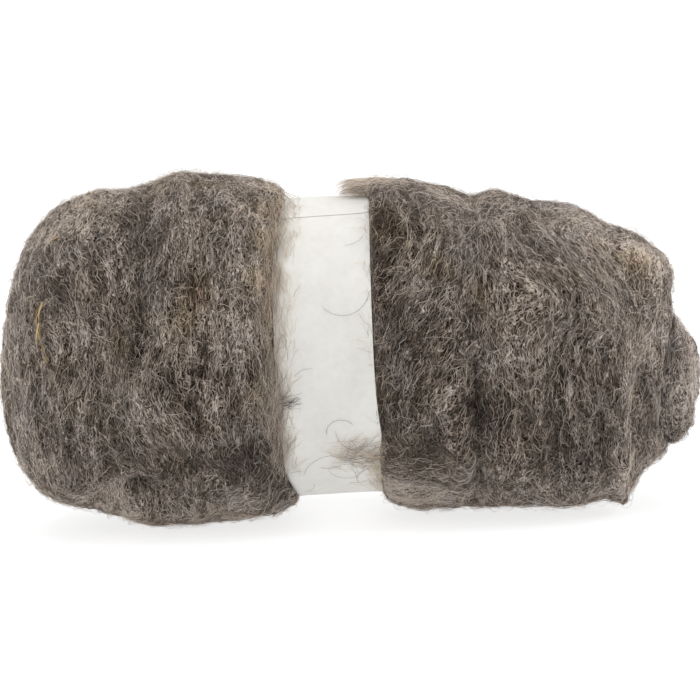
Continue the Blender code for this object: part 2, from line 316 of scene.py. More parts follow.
LAYS = (
    Lay(166, 14, 22, 52, 29),
    Lay(170, -53, 19, 19, 84),
    Lay(205, -84, 46, 11, 82),
    Lay(160, 90, 18, 14, 80),
    Lay(68, -20, 14, 22, -24),
    Lay(99, -50, 14, 17, 34),
    Lay(66, -70, 34, 10, 74),
    Lay(229, 44, 22, 26, -36),
    Lay(246, -60, 12, 18, 26),
    Lay(34, 30, 18, 30, -16),
    Lay(60, 150, 24, 30, 26),
    Lay(96, 215, 24, 30, -24),
    Lay(206, 160, 26, 30, 22),
    Lay(232, 226, 24, 26, -28),
)
# Places of another tint or tone. The large tints are the wool's own rust and fawn. Many tone entries
# are painted light and shade, marked below: lighter along the tops, bottom rims and ends, darker on
# the low front, beside the paper and in creases.
PATCHES = (
    Patch(85, 24, 6, 0.32, -0.10),
    Patch(79, 16, 6, 0.28, -0.14),
    Patch(54, 9, 5, 0.30, -0.08),
    Patch(158, 50, 9, 0.32, -0.32),
    Patch(168, 64, 9, 0.00, -0.10),
    Patch(179, 34, 6, 0.28, -0.06),
    Patch(195, 27, 5, 0.28, -0.05),
    Patch(253, 55, 7, 0.28, -0.05),
    Patch(109, 62, 6, 0.26, 0.05),
    Patch(109, 45, 6, 0.28, 0.04),
    Patch(109, 28, 6, 0.26, 0.03),
    Patch(109, -8, 8, 0.20, -0.04),
    Patch(66, 82, 6, 0.26, -0.03),
    Patch(88, 72, 5, 0.26, -0.02),
    Patch(62, 52, 12, -0.02, -0.12),
    Patch(68, 37, 9, -0.02, -0.14),
    Patch(67, 68, 7, 0.00, -0.12),
    Patch(62, 14, 11, 0.00, -0.12),
    Patch(74, -2, 9, 0.02, -0.10),
    Patch(81, 32, 6, 0.04, 0.08),
    Patch(96, 15, 9, 0.04, 0.22),
    Patch(99, 31, 8, 0.02, 0.16),
    # Painted light: lighter low on the left lobe, towards its bottom.
    Patch(97, -54, 8, 0.00, 0.28),
    # Painted shade: the darker entries here darken the left lobe's low front and the hollow beside
    # the paper.
    Patch(104, -43, 6, 0.00, -0.16),
    Patch(111, -35, 4, 0.08, 0.12),
    Patch(110, -56, 9, -0.02, -0.22),
    Patch(105, -32, 11, -0.02, -0.20),
    Patch(90, -30, 12, -0.03, -0.18),
    Patch(56, -36, 13, 0.02, -0.24),
    Patch(24, -14, 14, -0.03, -0.10),
    Patch(36, 10, 7, 0.00, 0.08),
    # Painted light: lighter along the left lobe's top.
    Patch(31, 68, 14, 0.06, 0.22),
    Patch(46, 84, 12, 0.04, 0.16),
    # Painted light: lighter at the left tip and along the left lobe's bottom rim.
    Patch(4, -16, 22, 0.00, 0.13),
    Patch(42, -60, 13, 0.03, 0.30),
    Patch(52, -64, 9, 0.02, 0.16),
    Patch(88, -64, 12, 0.02, 0.16),
    # Painted shade: darker on the right lobe just beside the paper's right edge.
    Patch(155, 10, 12, -0.01, -0.16),
    Patch(154, 35, 9, 0.03, -0.16),
    Patch(155, -20, 9, 0.00, -0.12),
    Patch(172, 8, 14, 0.02, -0.17),
    # Painted shade: darker on the right lobe's low front.
    Patch(163, -27, 13, 0.04, -0.18),
    Patch(187, -18, 12, -0.01, -0.20),
    # Painted light: lighter along the tops and along the right lobe's bottom rim, where more light
    # reaches.
    Patch(157, 84, 10, 0.08, 0.30),
    Patch(154, -56, 8, 0.06, 0.40),
    Patch(159, -63, 9, 0.06, 0.50),
    Patch(170, -64, 9, 0.04, 0.38),
    Patch(181, -65, 9, 0.03, 0.26),
    Patch(187, 82, 9, 0.02, 0.28),
    Patch(106, 84, 8, 0.04, 0.32),
    Patch(257, 64, 10, 0.00, 0.22),
    Patch(30, 30, 9, 0.02, -0.12),
    Patch(208, 44, 10, 0.00, -0.10),
    Patch(205, 12, 10, -0.02, 0.06),
    # The darker entries here, on the right lobe's low front, are painted shade; the lighter one
    # lower down is painted light.
    Patch(217, -14, 12, 0.00, -0.12),
    Patch(219, -50, 8, 0.00, 0.12),
    Patch(197, -12, 9, 0.00, -0.12),
    Patch(228, -34, 15, 0.00, -0.20),
    Patch(238, -4, 6, 0.02, -0.08),
    # Painted light on the right lobe's top, its bottom rim and its end bulge; the darker entries are
    # painted shade in the crease at the bulge's edge.
    Patch(233, 74, 12, 0.00, 0.28),
    Patch(242, 56, 8, 0.00, 0.14),
    Patch(262, -6, 8, 0.00, -0.22),
    Patch(264, 58, 14, 0.00, 0.18),
    Patch(226, -62, 12, 0.02, 0.12),
    Patch(242, -60, 12, 0.03, 0.20),
    Patch(253, -48, 9, 0.03, 0.16),
    Patch(271, 0, 18, -0.02, 0.38),
    Patch(266, 8, 4, 0.04, -0.20),
    Patch(60, 160, 10, 0.28, -0.06),
    Patch(98, 205, 11, 0.22, -0.04),
    Patch(180, 200, 10, 0.28, -0.06),
    Patch(224, 150, 12, 0.16, 0.05),
    Patch(242, 220, 9, 0.26, -0.04),
    Patch(28, 200, 12, -0.14, 0.05),
)

FRINGES = (
    Fringe(106.5, 111.0, 34, 44, 0, -3, 9, 9, 0.9, 340, 0.74, 0.62),
    Fringe(109.5, 114.5, 40, 40, 0, -3, 10, 9, 0.6, 380, 0.90, 0.66),
    Fringe(112.0, 118.5, 36, 44, 0, -3, 12, 8, 0.4, 310, 0.98, 0.66),
    Fringe(115.0, 121.0, 30, 50, 0, -3, 16, 7, 0.3, 130, 0.99, 0.66),
    Fringe(108.5, 113.0, -24, 22, 0, 4, 14, 10, 1.2, 420, 0.72, 0.54),
    Fringe(111.5, 116.0, -24, 22, 0, 5, 16, 9, 0.8, 240, 0.88, 0.60),
    Fringe(108.0, 114.5, 40, 34, 0, -3, 8, 9, 0.9, 170, 0.46, 0.80),
    Fringe(108.0, 113.5, 180, 80, 0, 0, 40, 9, 1.2, 200, 0.62, 0.52),
    Fringe(145.0, 156.0, 92, 8, 0.4, -93, 14, 8, 1.6, 150, 0.98, 0.56),
    Fringe(146.5, 158.0, 92, 8, 1.8, -91, 14, 9, 2.0, 180, 0.98, 0.56),
    Fringe(147.0, 159.0, 92, 8, 3.4, -88, 14, 10, 2.0, 200, 0.98, 0.56),
    Fringe(147.5, 160.0, 92, 8, 5.0, -86, 14, 10, 1.6, 210, 0.98, 0.56),
    Fringe(148.0, 158.0, 88, 8, 3.4, -84, 20, 9, 2.0, 60, 0.34, 0.50),
    Fringe(131.0, 152.0, -38, 6, 0, 88, 22, 9, 0.4, 150, 0.94, 0.72),
    Fringe(133.0, 152.0, -40, 5, 0, 84, 40, 11, 0.5, 36, 0.40, 0.50),
    Fringe(147.0, 154.5, -52, 15, 0, 50, 50, 7, 0.5, 240, 0.98, 0.66),
    Fringe(149.0, 153.0, 30, 44, 0, 20, 60, 6, 0.3, 60, 0.86, 0.62),
    Fringe(148.5, 153.5, 180, 80, 0, 20, 60, 8, 1.0, 160, 0.60, 0.52),
    Fringe(113.6, 116.4, -13, 1.3, 0, 78, 12, 6, 0.8, 34, 0.12, 0.74),
)
HAIRS = (
    Hair(150.6, 23.5, -162, 24, 5.6),
    Hair(120.5, -4.0, 30, 11, 9.0),
    Hair(132.0, -28.0, -12, 18, 10.0),
    Hair(120.8, -65.0, 60, 10, -7.0),
    Hair(121.6, -50.0, 4, 19, 4.6),
    Hair(131.2, -45.0, 178, 22, -8.0),
    Hair(128.0, -45.2, 86, 9, 0.0),
    Hair(138.6, -58.0, 80, 9, -2.0),
    Hair(116.0, -46.8, 84, 6, 1.0),
    Hair(149.0, 52.0, 190, 10, 9.0),
    Hair(143.0, -36.0, -70, 16, 5.0),
    Hair(148.0, -47.0, -95, 12, -9.0),
    Hair(136.0, 150.0, 40, 18, 8.0),
    Hair(124.0, 195.0, -60, 14, -9.0),
    Hair(144.0, 220.0, 120, 16, 7.0),
)
STRAWS = (
    Straw(23.4, 29.0, 196, 9, 0.90, 0.97),
    Straw(22.0, 22.0, 172, 9, 0.75, 0.97),
    Straw(22.6, 14.0, 160, 9, 0.50, 0.93),
    Straw(26.5, 55.0, 84, 5, 0.50, 0.90),
    Straw(209.0, -2.0, 62, 8, 0.22, 0.60),
    Straw(74.0, 150.0, 30, 12, 0.40, 0.97),
    Straw(214.0, 210.0, 70, 9, 0.36, 0.95),
)


# ---------------------------------------------------------------- arrays


def lattice_noise(places: Array, seed: int) -> Array:
    """Smooth noise between -1 and 1.

    Random values stand on a lattice of whole numbers, and each place takes the eight
    round it, weighted along each axis by 3t^2 - 2t^3.

    Args:
        places: Points in lattice units, with three numbers in the last axis.
        seed: Number that picks the lattice's values.

    Returns:
        One value for each point.
    """
    values = np.random.default_rng(seed).uniform(-1, 1, (LATTICE_SIDE,) * 3)
    corner = np.floor(places).astype(np.int64)
    blend = places - corner
    blend = blend * blend * (3 - 2 * blend)
    total = np.zeros(places.shape[:-1])
    for step in np.ndindex(2, 2, 2):
        weight = np.prod(np.where(step, blend, 1 - blend), axis=-1)
        spot = (corner + step) % LATTICE_SIDE
        total += weight * values[spot[..., 0], spot[..., 1], spot[..., 2]]
    return total


def grain_height(grains: tuple[Grain, ...], points: Array, base: float = 0.0) -> Array:
    """The base and the sum of the layers, each smooth noise on cells of its own size.

    Args:
        grains: The layers.
        points: Places in millimetres.
        base: What they add to.

    Returns:
        One value for each point.
    """
    total = np.full(points.shape[:-1], base)
    for grain in grains:
        cells = points / (grain.along, grain.round, grain.round) + grain.shift
        total += grain.height * lattice_noise(cells, grain.seed)
    return total


def bell(distance: Array, width: float) -> Array:
    """A bell curve: e to minus the square of the distance over the width."""
    return np.exp(-((distance / width) ** 2))


def smooth_step(values: Array, start: float, width: float) -> Array:
    """A step from 0 at start to 1 a width further on, by 3t^2 - 2t^3."""
    t = np.clip((values - start) / width, 0, 1)
    return t**2 * (3 - 2 * t)


def turn_between(angles: Array, other: float) -> Array:
    """Signed turn in degrees from other to each angle, between -180 and 180."""
    return (angles - other + 180) % 360 - 180


def summed_reach(swells: tuple[Swell, ...], angles: Array) -> Array:
    """Sum of the swells at each angle, each a bell curve round its own angle.

    Args:
        swells: The swells.
        angles: Angles in degrees.

    Returns:
        The reach at each angle.
    """
    reach = np.zeros_like(np.asarray(angles, float))
    for swell in swells:
        reach += swell.reach * bell(turn_between(angles, swell.angle), swell.spread)
    return reach


def round_points(angles: Array, bottom: Array, top: Array, depth: Array) -> tuple[Array, Array]:
    """Y and Z of a section: a superellipse, its sine and cosine raised to 2/PLUMPNESS.

    Args:
        angles: Angles in degrees.
        bottom: Lowest height.
        top: Greatest height.
        depth: Size from front to back.

    Returns:
        Both, for each angle.
    """
    turns = np.radians(angles)
    across, up = np.cos(turns), np.sin(turns)
    power = 2 / PLUMPNESS
    y = -np.sign(across) * np.abs(across) ** power * depth / 2
    z = (bottom + top) / 2 + np.sign(up) * np.abs(up) ** power * (top - bottom) / 2
    return y, z


def smooth_rows(sections: tuple[Section, ...], pitch: float) -> Array:
    """Rows on a cubic curve through the sections that never overshoots them.

    The slope at a section is the harmonic mean of the slopes on its two sides, or
    zero where they differ in sign.

    Args:
        sections: The sections, in order.
        pitch: Largest distance between rows, in millimetres.

    Returns:
        One row for each ring, with the columns of Section.
    """
    values = np.array(sections, float)
    steps = np.diff(values, axis=0)
    reach = np.hypot(steps[:, 0], steps[:, 1:4].max(axis=1) / 2)
    place = np.concatenate([[0.0], np.cumsum(np.maximum(reach, 0.1))])
    width = np.diff(place)[:, None]
    slope = steps / width
    before, after = slope[:-1], slope[1:]
    same = before * after > 0
    total = np.where(same, before + after, 1.0)
    middle = np.where(same, 2 * before * after / total, 0.0)
    ends = np.vstack([slope[:1], middle, slope[-1:]])
    rows = [values[:1]]
    for index, length in enumerate(width[:, 0]):
        count = max(1, round(length / pitch))
        t = (np.arange(count)[:, None] + 1) / count
        rows.append(
            values[index] * (2 * t**3 - 3 * t**2 + 1)
            + values[index + 1] * (3 * t**2 - 2 * t**3)
            + ends[index] * length * (t**3 - 2 * t**2 + t)
            + ends[index + 1] * length * (t**3 - t**2)
        )
    return np.vstack(rows)


def fold_height(folds: tuple[Fold, ...], along: Array, angles: Array) -> Array:
    """Height of the folds: a bell curve of the distance to each fold's line.

    Args:
        folds: The folds.
        along: Places along the roll.
        angles: Angles in degrees.

    Returns:
        The height at each place.
    """
    height = np.zeros(np.broadcast(along, angles).shape)
    for fold in folds:
        middle = (fold.angle + fold.to_angle) / 2
        arc = np.radians(turn_between(angles, middle)) * MEAN_RADIUS
        half = np.radians((fold.to_angle - fold.angle) / 2) * MEAN_RADIUS
        span = np.array([fold.to_along - fold.along, 2 * half])
        share = ((along - fold.along) * span[0] + (arc + half) * span[1]) / (span @ span)
        share = np.clip(share, 0, 1)
        away = np.hypot(along - fold.along - share * span[0], arc + half - share * span[1])
        height += fold.height * bell(away, fold.width)
    return height


def wave_height(along: Array, angles: Array) -> Array:
    """Height of the low waves: sines of the place along and round the roll.

    Args:
        along: Places along the roll.
        angles: Angles in degrees.

    Returns:
        The height at each place.
    """
    height = np.zeros(np.broadcast(along, angles).shape)
    for wave in WAVES:
        phase = FULL_TURN * wave.along * along / ROLL_LENGTH
        height += wave.height * np.sin(phase + wave.round * np.radians(angles) + wave.turn)
    return height


def coil_shift(coils: tuple[Coil, ...], along: Array, y: Array, z: Array) -> Array:
    """Shift along X of the scroll grooves: a cosine of radius over pitch less the turn.

    Args:
        coils: The scrolls.
        along: Place of each row along the roll.
        y: Y of each point.
        z: Its height.

    Returns:
        The shift of each point.
    """
    fade_length = 10.0
    shift = np.zeros_like(y)
    for coil in coils:
        across, up = y + coil.forward, z - coil.up
        radius = np.hypot(across, up)
        phase = radius / coil.pitch - coil.outward * np.arctan2(up, -across) / FULL_TURN
        groove = 0.5 - 0.5 * np.cos(FULL_TURN * phase)
        fade = np.clip(radius / fade_length, 0, 1)
        fade = fade * np.clip((coil.outer - radius) / fade_length, 0, 1)
        inside = (along > coil.start) & (along < coil.stop)
        shift -= inside * coil.outward * coil.depth * groove * fade
    return shift


def unit(vectors: Array) -> Array:
    """The vectors at length one, with none divided by zero."""
    return vectors / np.maximum(np.linalg.norm(vectors, axis=-1, keepdims=True), 1e-12)


def dot(first: Array, second: Array) -> Array:
    """The scalar product of each pair of vectors."""
    return np.sum(first * second, axis=-1)


def make_piece(
    name: str,
    points: Array,
    groups: list[Array],
    material: bpy.types.Material,
    uv: Array | None = None,
    per_corner: bool = False,
) -> bpy.types.Object:
    """Puts arrays into a smooth-shaded mesh object at the origin.

    Args:
        name: The object's name.
        points: Vertices in metres.
        groups: Faces as arrays of vertex numbers, one array for each count of corners.
        material: Its finish.
        uv: UV places, one for each vertex, or for each corner, or None.
        per_corner: True where there is one for each corner.

    Returns:
        The new object.
    """
    mesh = bpy.data.meshes.new(name)
    mesh.vertices.add(len(points))
    mesh.vertices.foreach_set("co", np.ascontiguousarray(points, np.float32).ravel())
    corners_of = np.concatenate([group.ravel() for group in groups]).astype(np.int32)
    sizes = np.concatenate([np.full(len(group), group.shape[1]) for group in groups])
    starts = np.concatenate([[0], np.cumsum(sizes)[:-1]]).astype(np.int32)
    mesh.loops.add(len(corners_of))
    mesh.loops.foreach_set("vertex_index", corners_of)
    mesh.polygons.add(len(sizes))
    mesh.polygons.foreach_set("loop_start", starts)
    mesh.update(calc_edges=True)
    mesh.shade_smooth()
    if uv is not None:
        places = uv if per_corner else uv[corners_of]
        layer = mesh.uv_layers.new(name=UV_MAP)
        layer.data.foreach_set("uv", np.ascontiguousarray(places, np.float32).ravel())
    mesh.materials.append(material)
    piece = bpy.data.objects.new(name, mesh)
    bpy.context.scene.collection.objects.link(piece)
    LOG.info("%s: %d points, %d faces", name, len(points), len(sizes))
    return piece


def grid_faces(rows: int, columns: int) -> Array:
    """Quads of a grid of rows whose columns close into rings, facing outwards.

    Args:
        rows: Number of rows.
        columns: Number of points in each.

    Returns:
        Four vertex numbers for each face.
    """
    row, column = np.meshgrid(np.arange(rows - 1), np.arange(columns), indexing="ij")
    after = (column + 1) % columns
    corners = (
        row * columns + column,
        (row + 1) * columns + column,
        (row + 1) * columns + after,
        row * columns + after,
    )
    return np.stack(corners, axis=-1).reshape(-1, 4)


# ---------------------------------------------------------------- shader words


class Term:
    """A number in a shader, on which arithmetic adds Math nodes."""

    def __init__(self, recipe: "Recipe", socket: bpy.types.NodeSocket) -> None:
        """Keeps the recipe that owns the socket."""
        self.recipe = recipe
        self.socket = socket

    def __add__(self, other: "Term | float") -> "Term":
        """Sum."""
        return self.recipe.math("ADD", self, other)

    def __sub__(self, other: "Term | float") -> "Term":
        """Difference."""
        return self.recipe.math("SUBTRACT", self, other)

    def __mul__(self, other: "Term | float") -> "Term":
        """Product."""
        return self.recipe.math("MULTIPLY", self, other)

    def __rsub__(self, other: float) -> "Term":
        """Difference from a plain number."""
        return self.recipe.math("SUBTRACT", other, self)

    __radd__ = __add__
    __rmul__ = __mul__

    def size(self) -> "Term":
        """The number without its sign."""
        return self.recipe.math("ABSOLUTE", self)

    def most(self, other: "Term | float") -> "Term":
        """The greater of two numbers."""
        return self.recipe.math("MAXIMUM", self, other)

    def spread(self, low: float, high: float) -> "Term":
        """Moves low to 0 and high to 1, and holds the rest between them."""
        node = self.recipe.node(
            "ShaderNodeMapRange",
            {"clamp": True},
            {"Value": self, "From Min": low, "From Max": high},
        )
        return Term(self.recipe, node.outputs["Result"])


class Recipe:
    """A material's nodes, made by the words of this class."""

    def __init__(self, name: str) -> None:
        """Starts a material whose nodes are only a Principled shader and its output.

        Args:
            name: The material's name.
        """
        self.material = bpy.data.materials.new(name)
        self.material.use_nodes = True
        self.tree = self.material.node_tree
        self.shader = self.tree.nodes["Principled BSDF"]

    def node(
        self, kind: str, settings: dict[str, Any] | None = None, inputs: dict[Any, Any] | None = None
    ) -> bpy.types.Node:
        """Adds a node.

        Args:
            kind: The node's type.
            settings: Its own properties; stops are a ramp's places and colours.
            inputs: Values, sockets or Terms for its sockets, by name or number.

        Returns:
            The new node.
        """
        made = self.tree.nodes.new(kind)
        for key, value in (settings or {}).items():
            if key == "stops":
                ramp = made.color_ramp
                while len(ramp.elements) < len(value):
                    ramp.elements.new(0.5)
                for element, (place, color) in zip(ramp.elements, value):
                    element.position = place
                    element.color = (*color, 1)
            else:
                setattr(made, key, value)
        for key, value in (inputs or {}).items():
            self.feed(made.inputs[key], value)
        return made

    def feed(self, socket: bpy.types.NodeSocket, value: Any) -> None:
        """Links or sets one socket.

        Args:
            socket: What to feed.
            value: A value, socket or Term.
        """
        if isinstance(value, Term):
            value = value.socket
        if isinstance(value, bpy.types.NodeSocket):
            self.tree.links.new(value, socket)
        else:
            socket.default_value = value

    def math(self, operation: str, *values: "Term | float") -> Term:
        """A Math node on the values."""
        node = self.node("ShaderNodeMath", {"operation": operation}, dict(enumerate(values)))
        return Term(self, node.outputs[0])

    def place(self) -> bpy.types.NodeSocket:
        """The point in the object's own metres."""
        return self.node("ShaderNodeTexCoord").outputs["Object"]

    def trait(self, name: str) -> bpy.types.NodeSocket:
        """A vector that stands at each point of the mesh."""
        node = self.node("ShaderNodeAttribute", {"attribute_name": name})
        return node.outputs["Vector"]

    def own_map(self) -> bpy.types.NodeSocket:
        """The place in the piece's own UV map."""
        return self.node("ShaderNodeUVMap", {"uv_map": UV_MAP}).outputs["UV"]

    def numbers(self, vector: bpy.types.NodeSocket) -> list[Term]:
        """The three numbers of a vector."""
        parts = self.node("ShaderNodeSeparateXYZ", None, {0: vector})
        return [Term(self, socket) for socket in parts.outputs]

    def vector(self, operation: str, *values: Any) -> bpy.types.NodeSocket:
        """A Vector Math node on the values."""
        node = self.node("ShaderNodeVectorMath", {"operation": operation}, dict(enumerate(values)))
        return node.outputs[0]

    def noise(self, place: Any, scale: float, detail: float = 2, warp: float = 0) -> Term:
        """Noise between about 0 and 1, with its cells one over scale wide."""
        node = self.node(
            "ShaderNodeTexNoise",
            None,
            {"Vector": place, "Scale": scale, "Detail": detail, "Distortion": warp},
        )
        return Term(self, node.outputs[0])

    def ramp(self, value: Term, stops: tuple) -> bpy.types.NodeSocket:
        """Colours picked by a number between 0 and 1."""
        node = self.node("ShaderNodeValToRGB", {"stops": stops}, {"Fac": value})
        return node.outputs["Color"]

    def mix(self, share: Any, first: Any, second: Any, way: str = "MIX") -> bpy.types.NodeSocket:
        """Two colours mixed by a share of the second."""
        node = self.node(
            "ShaderNodeMix",
            {"data_type": "RGBA", "blend_type": way, "clamp_result": True},
            {0: share, 6: first, 7: second},
        )
        return node.outputs[2]

    def bump(self, strength: float, distance: float, height: Term) -> bpy.types.NodeSocket:
        """A normal that leans as the height rises, over a distance in metres."""
        inputs = {"Strength": strength, "Distance": distance, "Height": height}
        return self.node("ShaderNodeBump", None, inputs).outputs["Normal"]

    def finish(self, color: Any, **sockets: Any) -> bpy.types.Material:
        """Feeds the shader's sockets, named with underscores for spaces.

        Args:
            color: Value or socket of the base colour.
            sockets: Those of the other sockets.

        Returns:
            The finished material.
        """
        self.feed(self.shader.inputs["Base Color"], color)
        for key, value in sockets.items():
            self.feed(self.shader.inputs[key.replace("_", " ")], value)
        return self.material


# ---------------------------------------------------------------- finishes


class Tint(Enum):
    """Where each natural colour of the wool stands on the tint scale."""

    MAUVE = 0.1
    GREY = 0.35
    FAWN = 0.55
    KHAKI = 0.66
    RUST = 0.84
    STRAW = 0.97


TINT_STOPS = (
    (Tint.MAUVE.value, (1.04, 0.845, 0.79)),
    (Tint.GREY.value, (1.065, 0.87, 0.73)),
    (Tint.FAWN.value, (1.105, 0.87, 0.67)),
    (Tint.KHAKI.value, (1.11, 0.865, 0.59)),
    (Tint.RUST.value, (1.06, 0.72, 0.54)),
    (Tint.STRAW.value, (1.26, 0.88, 0.42)),
)


@dataclass(frozen=True)
class StrandFinish:
    """Single wool fibres, whose tone and tint stand in their own UV map."""

    name: str
    roughness: float = 0.62
    stops: tuple = (
        (0.0, (0.0220, 0.0185, 0.0158)),
        (0.5, (0.166, 0.167, 0.172)),
        (1.0, (0.650, 0.710, 0.785)),
    )

    def make(self) -> bpy.types.Material:
        """Tone picks the brightness and tint the colour that multiplies it.

        Returns:
            The material.
        """
        recipe = Recipe(self.name)
        tone, tint, _ = recipe.numbers(recipe.own_map())
        grey = recipe.ramp(tone, self.stops)
        hue = recipe.ramp(tint, TINT_STOPS)
        return recipe.finish(
            recipe.mix(1.0, grey, hue, "MULTIPLY"),
            Roughness=self.roughness,
            Specular_IOR_Level=0.15,
            Sheen_Weight=0.2,
            Sheen_Roughness=0.4,
            Sheen_Tint=(1.0, 0.92, 0.84, 1),
        )


@dataclass(frozen=True)
class FeltFinish:
    """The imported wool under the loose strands, a fine net of laid fibres."""

    name: str = "grey_wool_felt"
    sway_cells: float = 480.0
    sway_reach: tuple = (0.8, 0.8, 0.8)
    swing_cells: float = 120.0
    swing_reach: tuple = (6.0, 3.0, 3.0)
    second_shift: tuple = (7.3, 3.9, 5.1)
    second_scale: tuple = (1.7, 1.7, 1.7)
    second_share: float = 0.85
    net_cells: float = 840.0
    net_share: float = 0.7
    clump_cells: float = 260.0
    streak_cells: float = 0.21
    level: float = 0.92
    depth: float = 0.0012
    stops: tuple = (
        (0.0, (0.0085, 0.0069, 0.0056)),
        (0.3, (0.0400, 0.0345, 0.0306)),
        (0.62, (0.160, 0.157, 0.156)),
        (1.0, (0.530, 0.575, 0.630)),
    )

    def ridges(self, recipe: Recipe, place: Any, scale: float, warp: float, width: float) -> Term:
        """Lines where noise crosses its middle, one minus the distance over width."""
        return 1 - (recipe.noise(place, scale, 1, warp) - 0.5).size() * (1 / width)

    def shift(
        self, recipe: Recipe, place: Any, scale: float, reach: tuple
    ) -> bpy.types.NodeSocket:
        """A vector of three noises, each as large as its reach."""
        noise = recipe.node("ShaderNodeTexNoise", None, {"Vector": place, "Scale": scale})
        return recipe.vector("MULTIPLY", noise.outputs["Color"], reach)

    def make(self) -> bpy.types.Material:
        """Ridged noise laid along the strands, crossed by a net of ridged noise.

        Returns:
            The material.
        """
        recipe = Recipe(self.name)
        place = recipe.place()
        bent = recipe.vector(
            "ADD",
            self.shift(recipe, place, self.sway_cells, self.sway_reach),
            self.shift(recipe, place, self.swing_cells, self.swing_reach),
        )
        tone, tint, combed = recipe.numbers(recipe.trait("wool_shade"))
        strands, streaks = [], []
        for name in ("upright_lay", "level_lay"):
            lay = recipe.vector("ADD", recipe.trait(name), bent)
            crossed = recipe.vector("ADD", lay, self.second_shift)
            finer = recipe.vector("MULTIPLY", crossed, self.second_scale)
            second = self.ridges(recipe, finer, 0.72, 0.0, 0.12) * self.second_share
            strands.append(self.ridges(recipe, lay, 0.82, 0.0, 0.13).most(second))
            streaks.append(recipe.noise(lay, self.streak_cells, 1).spread(0.3, 0.7))
        laid = strands[0] + (strands[1] - strands[0]) * combed
        streak = streaks[0] + (streaks[1] - streaks[0]) * combed
        net = self.ridges(recipe, place, self.net_cells, 0.5, 0.08)
        fibre = laid.most(net * self.net_share).spread(0.0, 1.0)
        clump = recipe.noise(place, self.clump_cells, 3).spread(0.25, 0.75)
        lit = fibre * 1.1 + clump * 0.24 + streak * 0.3 + tone * 0.9 - self.level
        grey = recipe.ramp(lit, self.stops)
        hue = recipe.ramp(tint, TINT_STOPS)
        return recipe.finish(
            recipe.mix(1.0, grey, hue, "MULTIPLY"),
            Roughness=0.9,
            Specular_IOR_Level=0.04,
            Sheen_Weight=0.16,
            Sheen_Roughness=0.35,
            Sheen_Tint=(1.0, 0.90, 0.80, 1),
            Normal=recipe.bump(0.8, self.depth, fibre),
        )


@dataclass(frozen=True)
class PaperFinish:
    """Uncoated off-white paper: soft mottling, a few specks, and pulp you can feel."""

    name: str = "white_paper"
    roughness: float = 0.72
    mottle_cells: float = 60.0
    grain_cells: float = 380.0
    speck_cells: float = 520.0
    pulp_cells: float = 900.0
    depth: float = 0.0001
    dull_white: tuple = (0.616, 0.600, 0.564, 1)
    clear_white: tuple = (0.705, 0.697, 0.654, 1)
    speck_grey: tuple = (0.40, 0.36, 0.30, 1)

    def make(self) -> bpy.types.Material:
        """Mottled white, with sparse grey specks where fine noise is highest.

        Returns:
            The material.
        """
        recipe = Recipe(self.name)
        place = recipe.place()
        mottle = recipe.noise(place, self.mottle_cells, 4).spread(0.3, 0.7)
        pulp = recipe.noise(place, self.pulp_cells, 3)
        speck = recipe.noise(place, self.speck_cells, 1).spread(0.80, 0.84)
        grain = recipe.noise(place, self.grain_cells, 2).spread(0.3, 0.7)
        share = mottle * 0.65 + grain * 0.35
        white = recipe.mix(share, self.dull_white, self.clear_white)
        speckled = recipe.mix(speck * 0.5, white, self.speck_grey)
        return recipe.finish(
            speckled,
            Roughness=self.roughness,
            Specular_IOR_Level=0.35,
            Normal=recipe.bump(0.35, self.depth, pulp),
        )


@dataclass(frozen=True)
class FloorFinish:
    """Matte near-white studio floor, lit from below like a light table."""

    name: str = "studio_floor"
    glow: float = 0.76

    def make(self) -> bpy.types.Material:
        """Two pale tones mixed by slow noise, lifted to white by their glow.

        Returns:
            The material.
        """
        recipe = Recipe(self.name)
        mottle = recipe.noise(recipe.place(), 0.7, 2)
        white = recipe.mix(mottle, (0.34, 0.34, 0.34, 1), (0.36, 0.36, 0.36, 1))
        return recipe.finish(
            white,
            Roughness=0.9,
            Specular_IOR_Level=0.1,
            Emission_Color=(1.0, 1.0, 1.0, 1),
            Emission_Strength=self.glow,
        )


# ---------------------------------------------------------------- strands

# Of a spread that is drawn twice, for the lock and for the strand, each takes this share.
EVEN_SHARE = 0.7
# Spread of the headings within a lock, as a share of that between locks.
STRAY_IN_LOCK = 0.35
# How far below its ground a strand starts and ends, in millimetres.
ROOT_DEPTH = 0.25
# The furthest that one step may go over a grid.
MOST_ROWS, MOST_COLUMNS = 3, 12


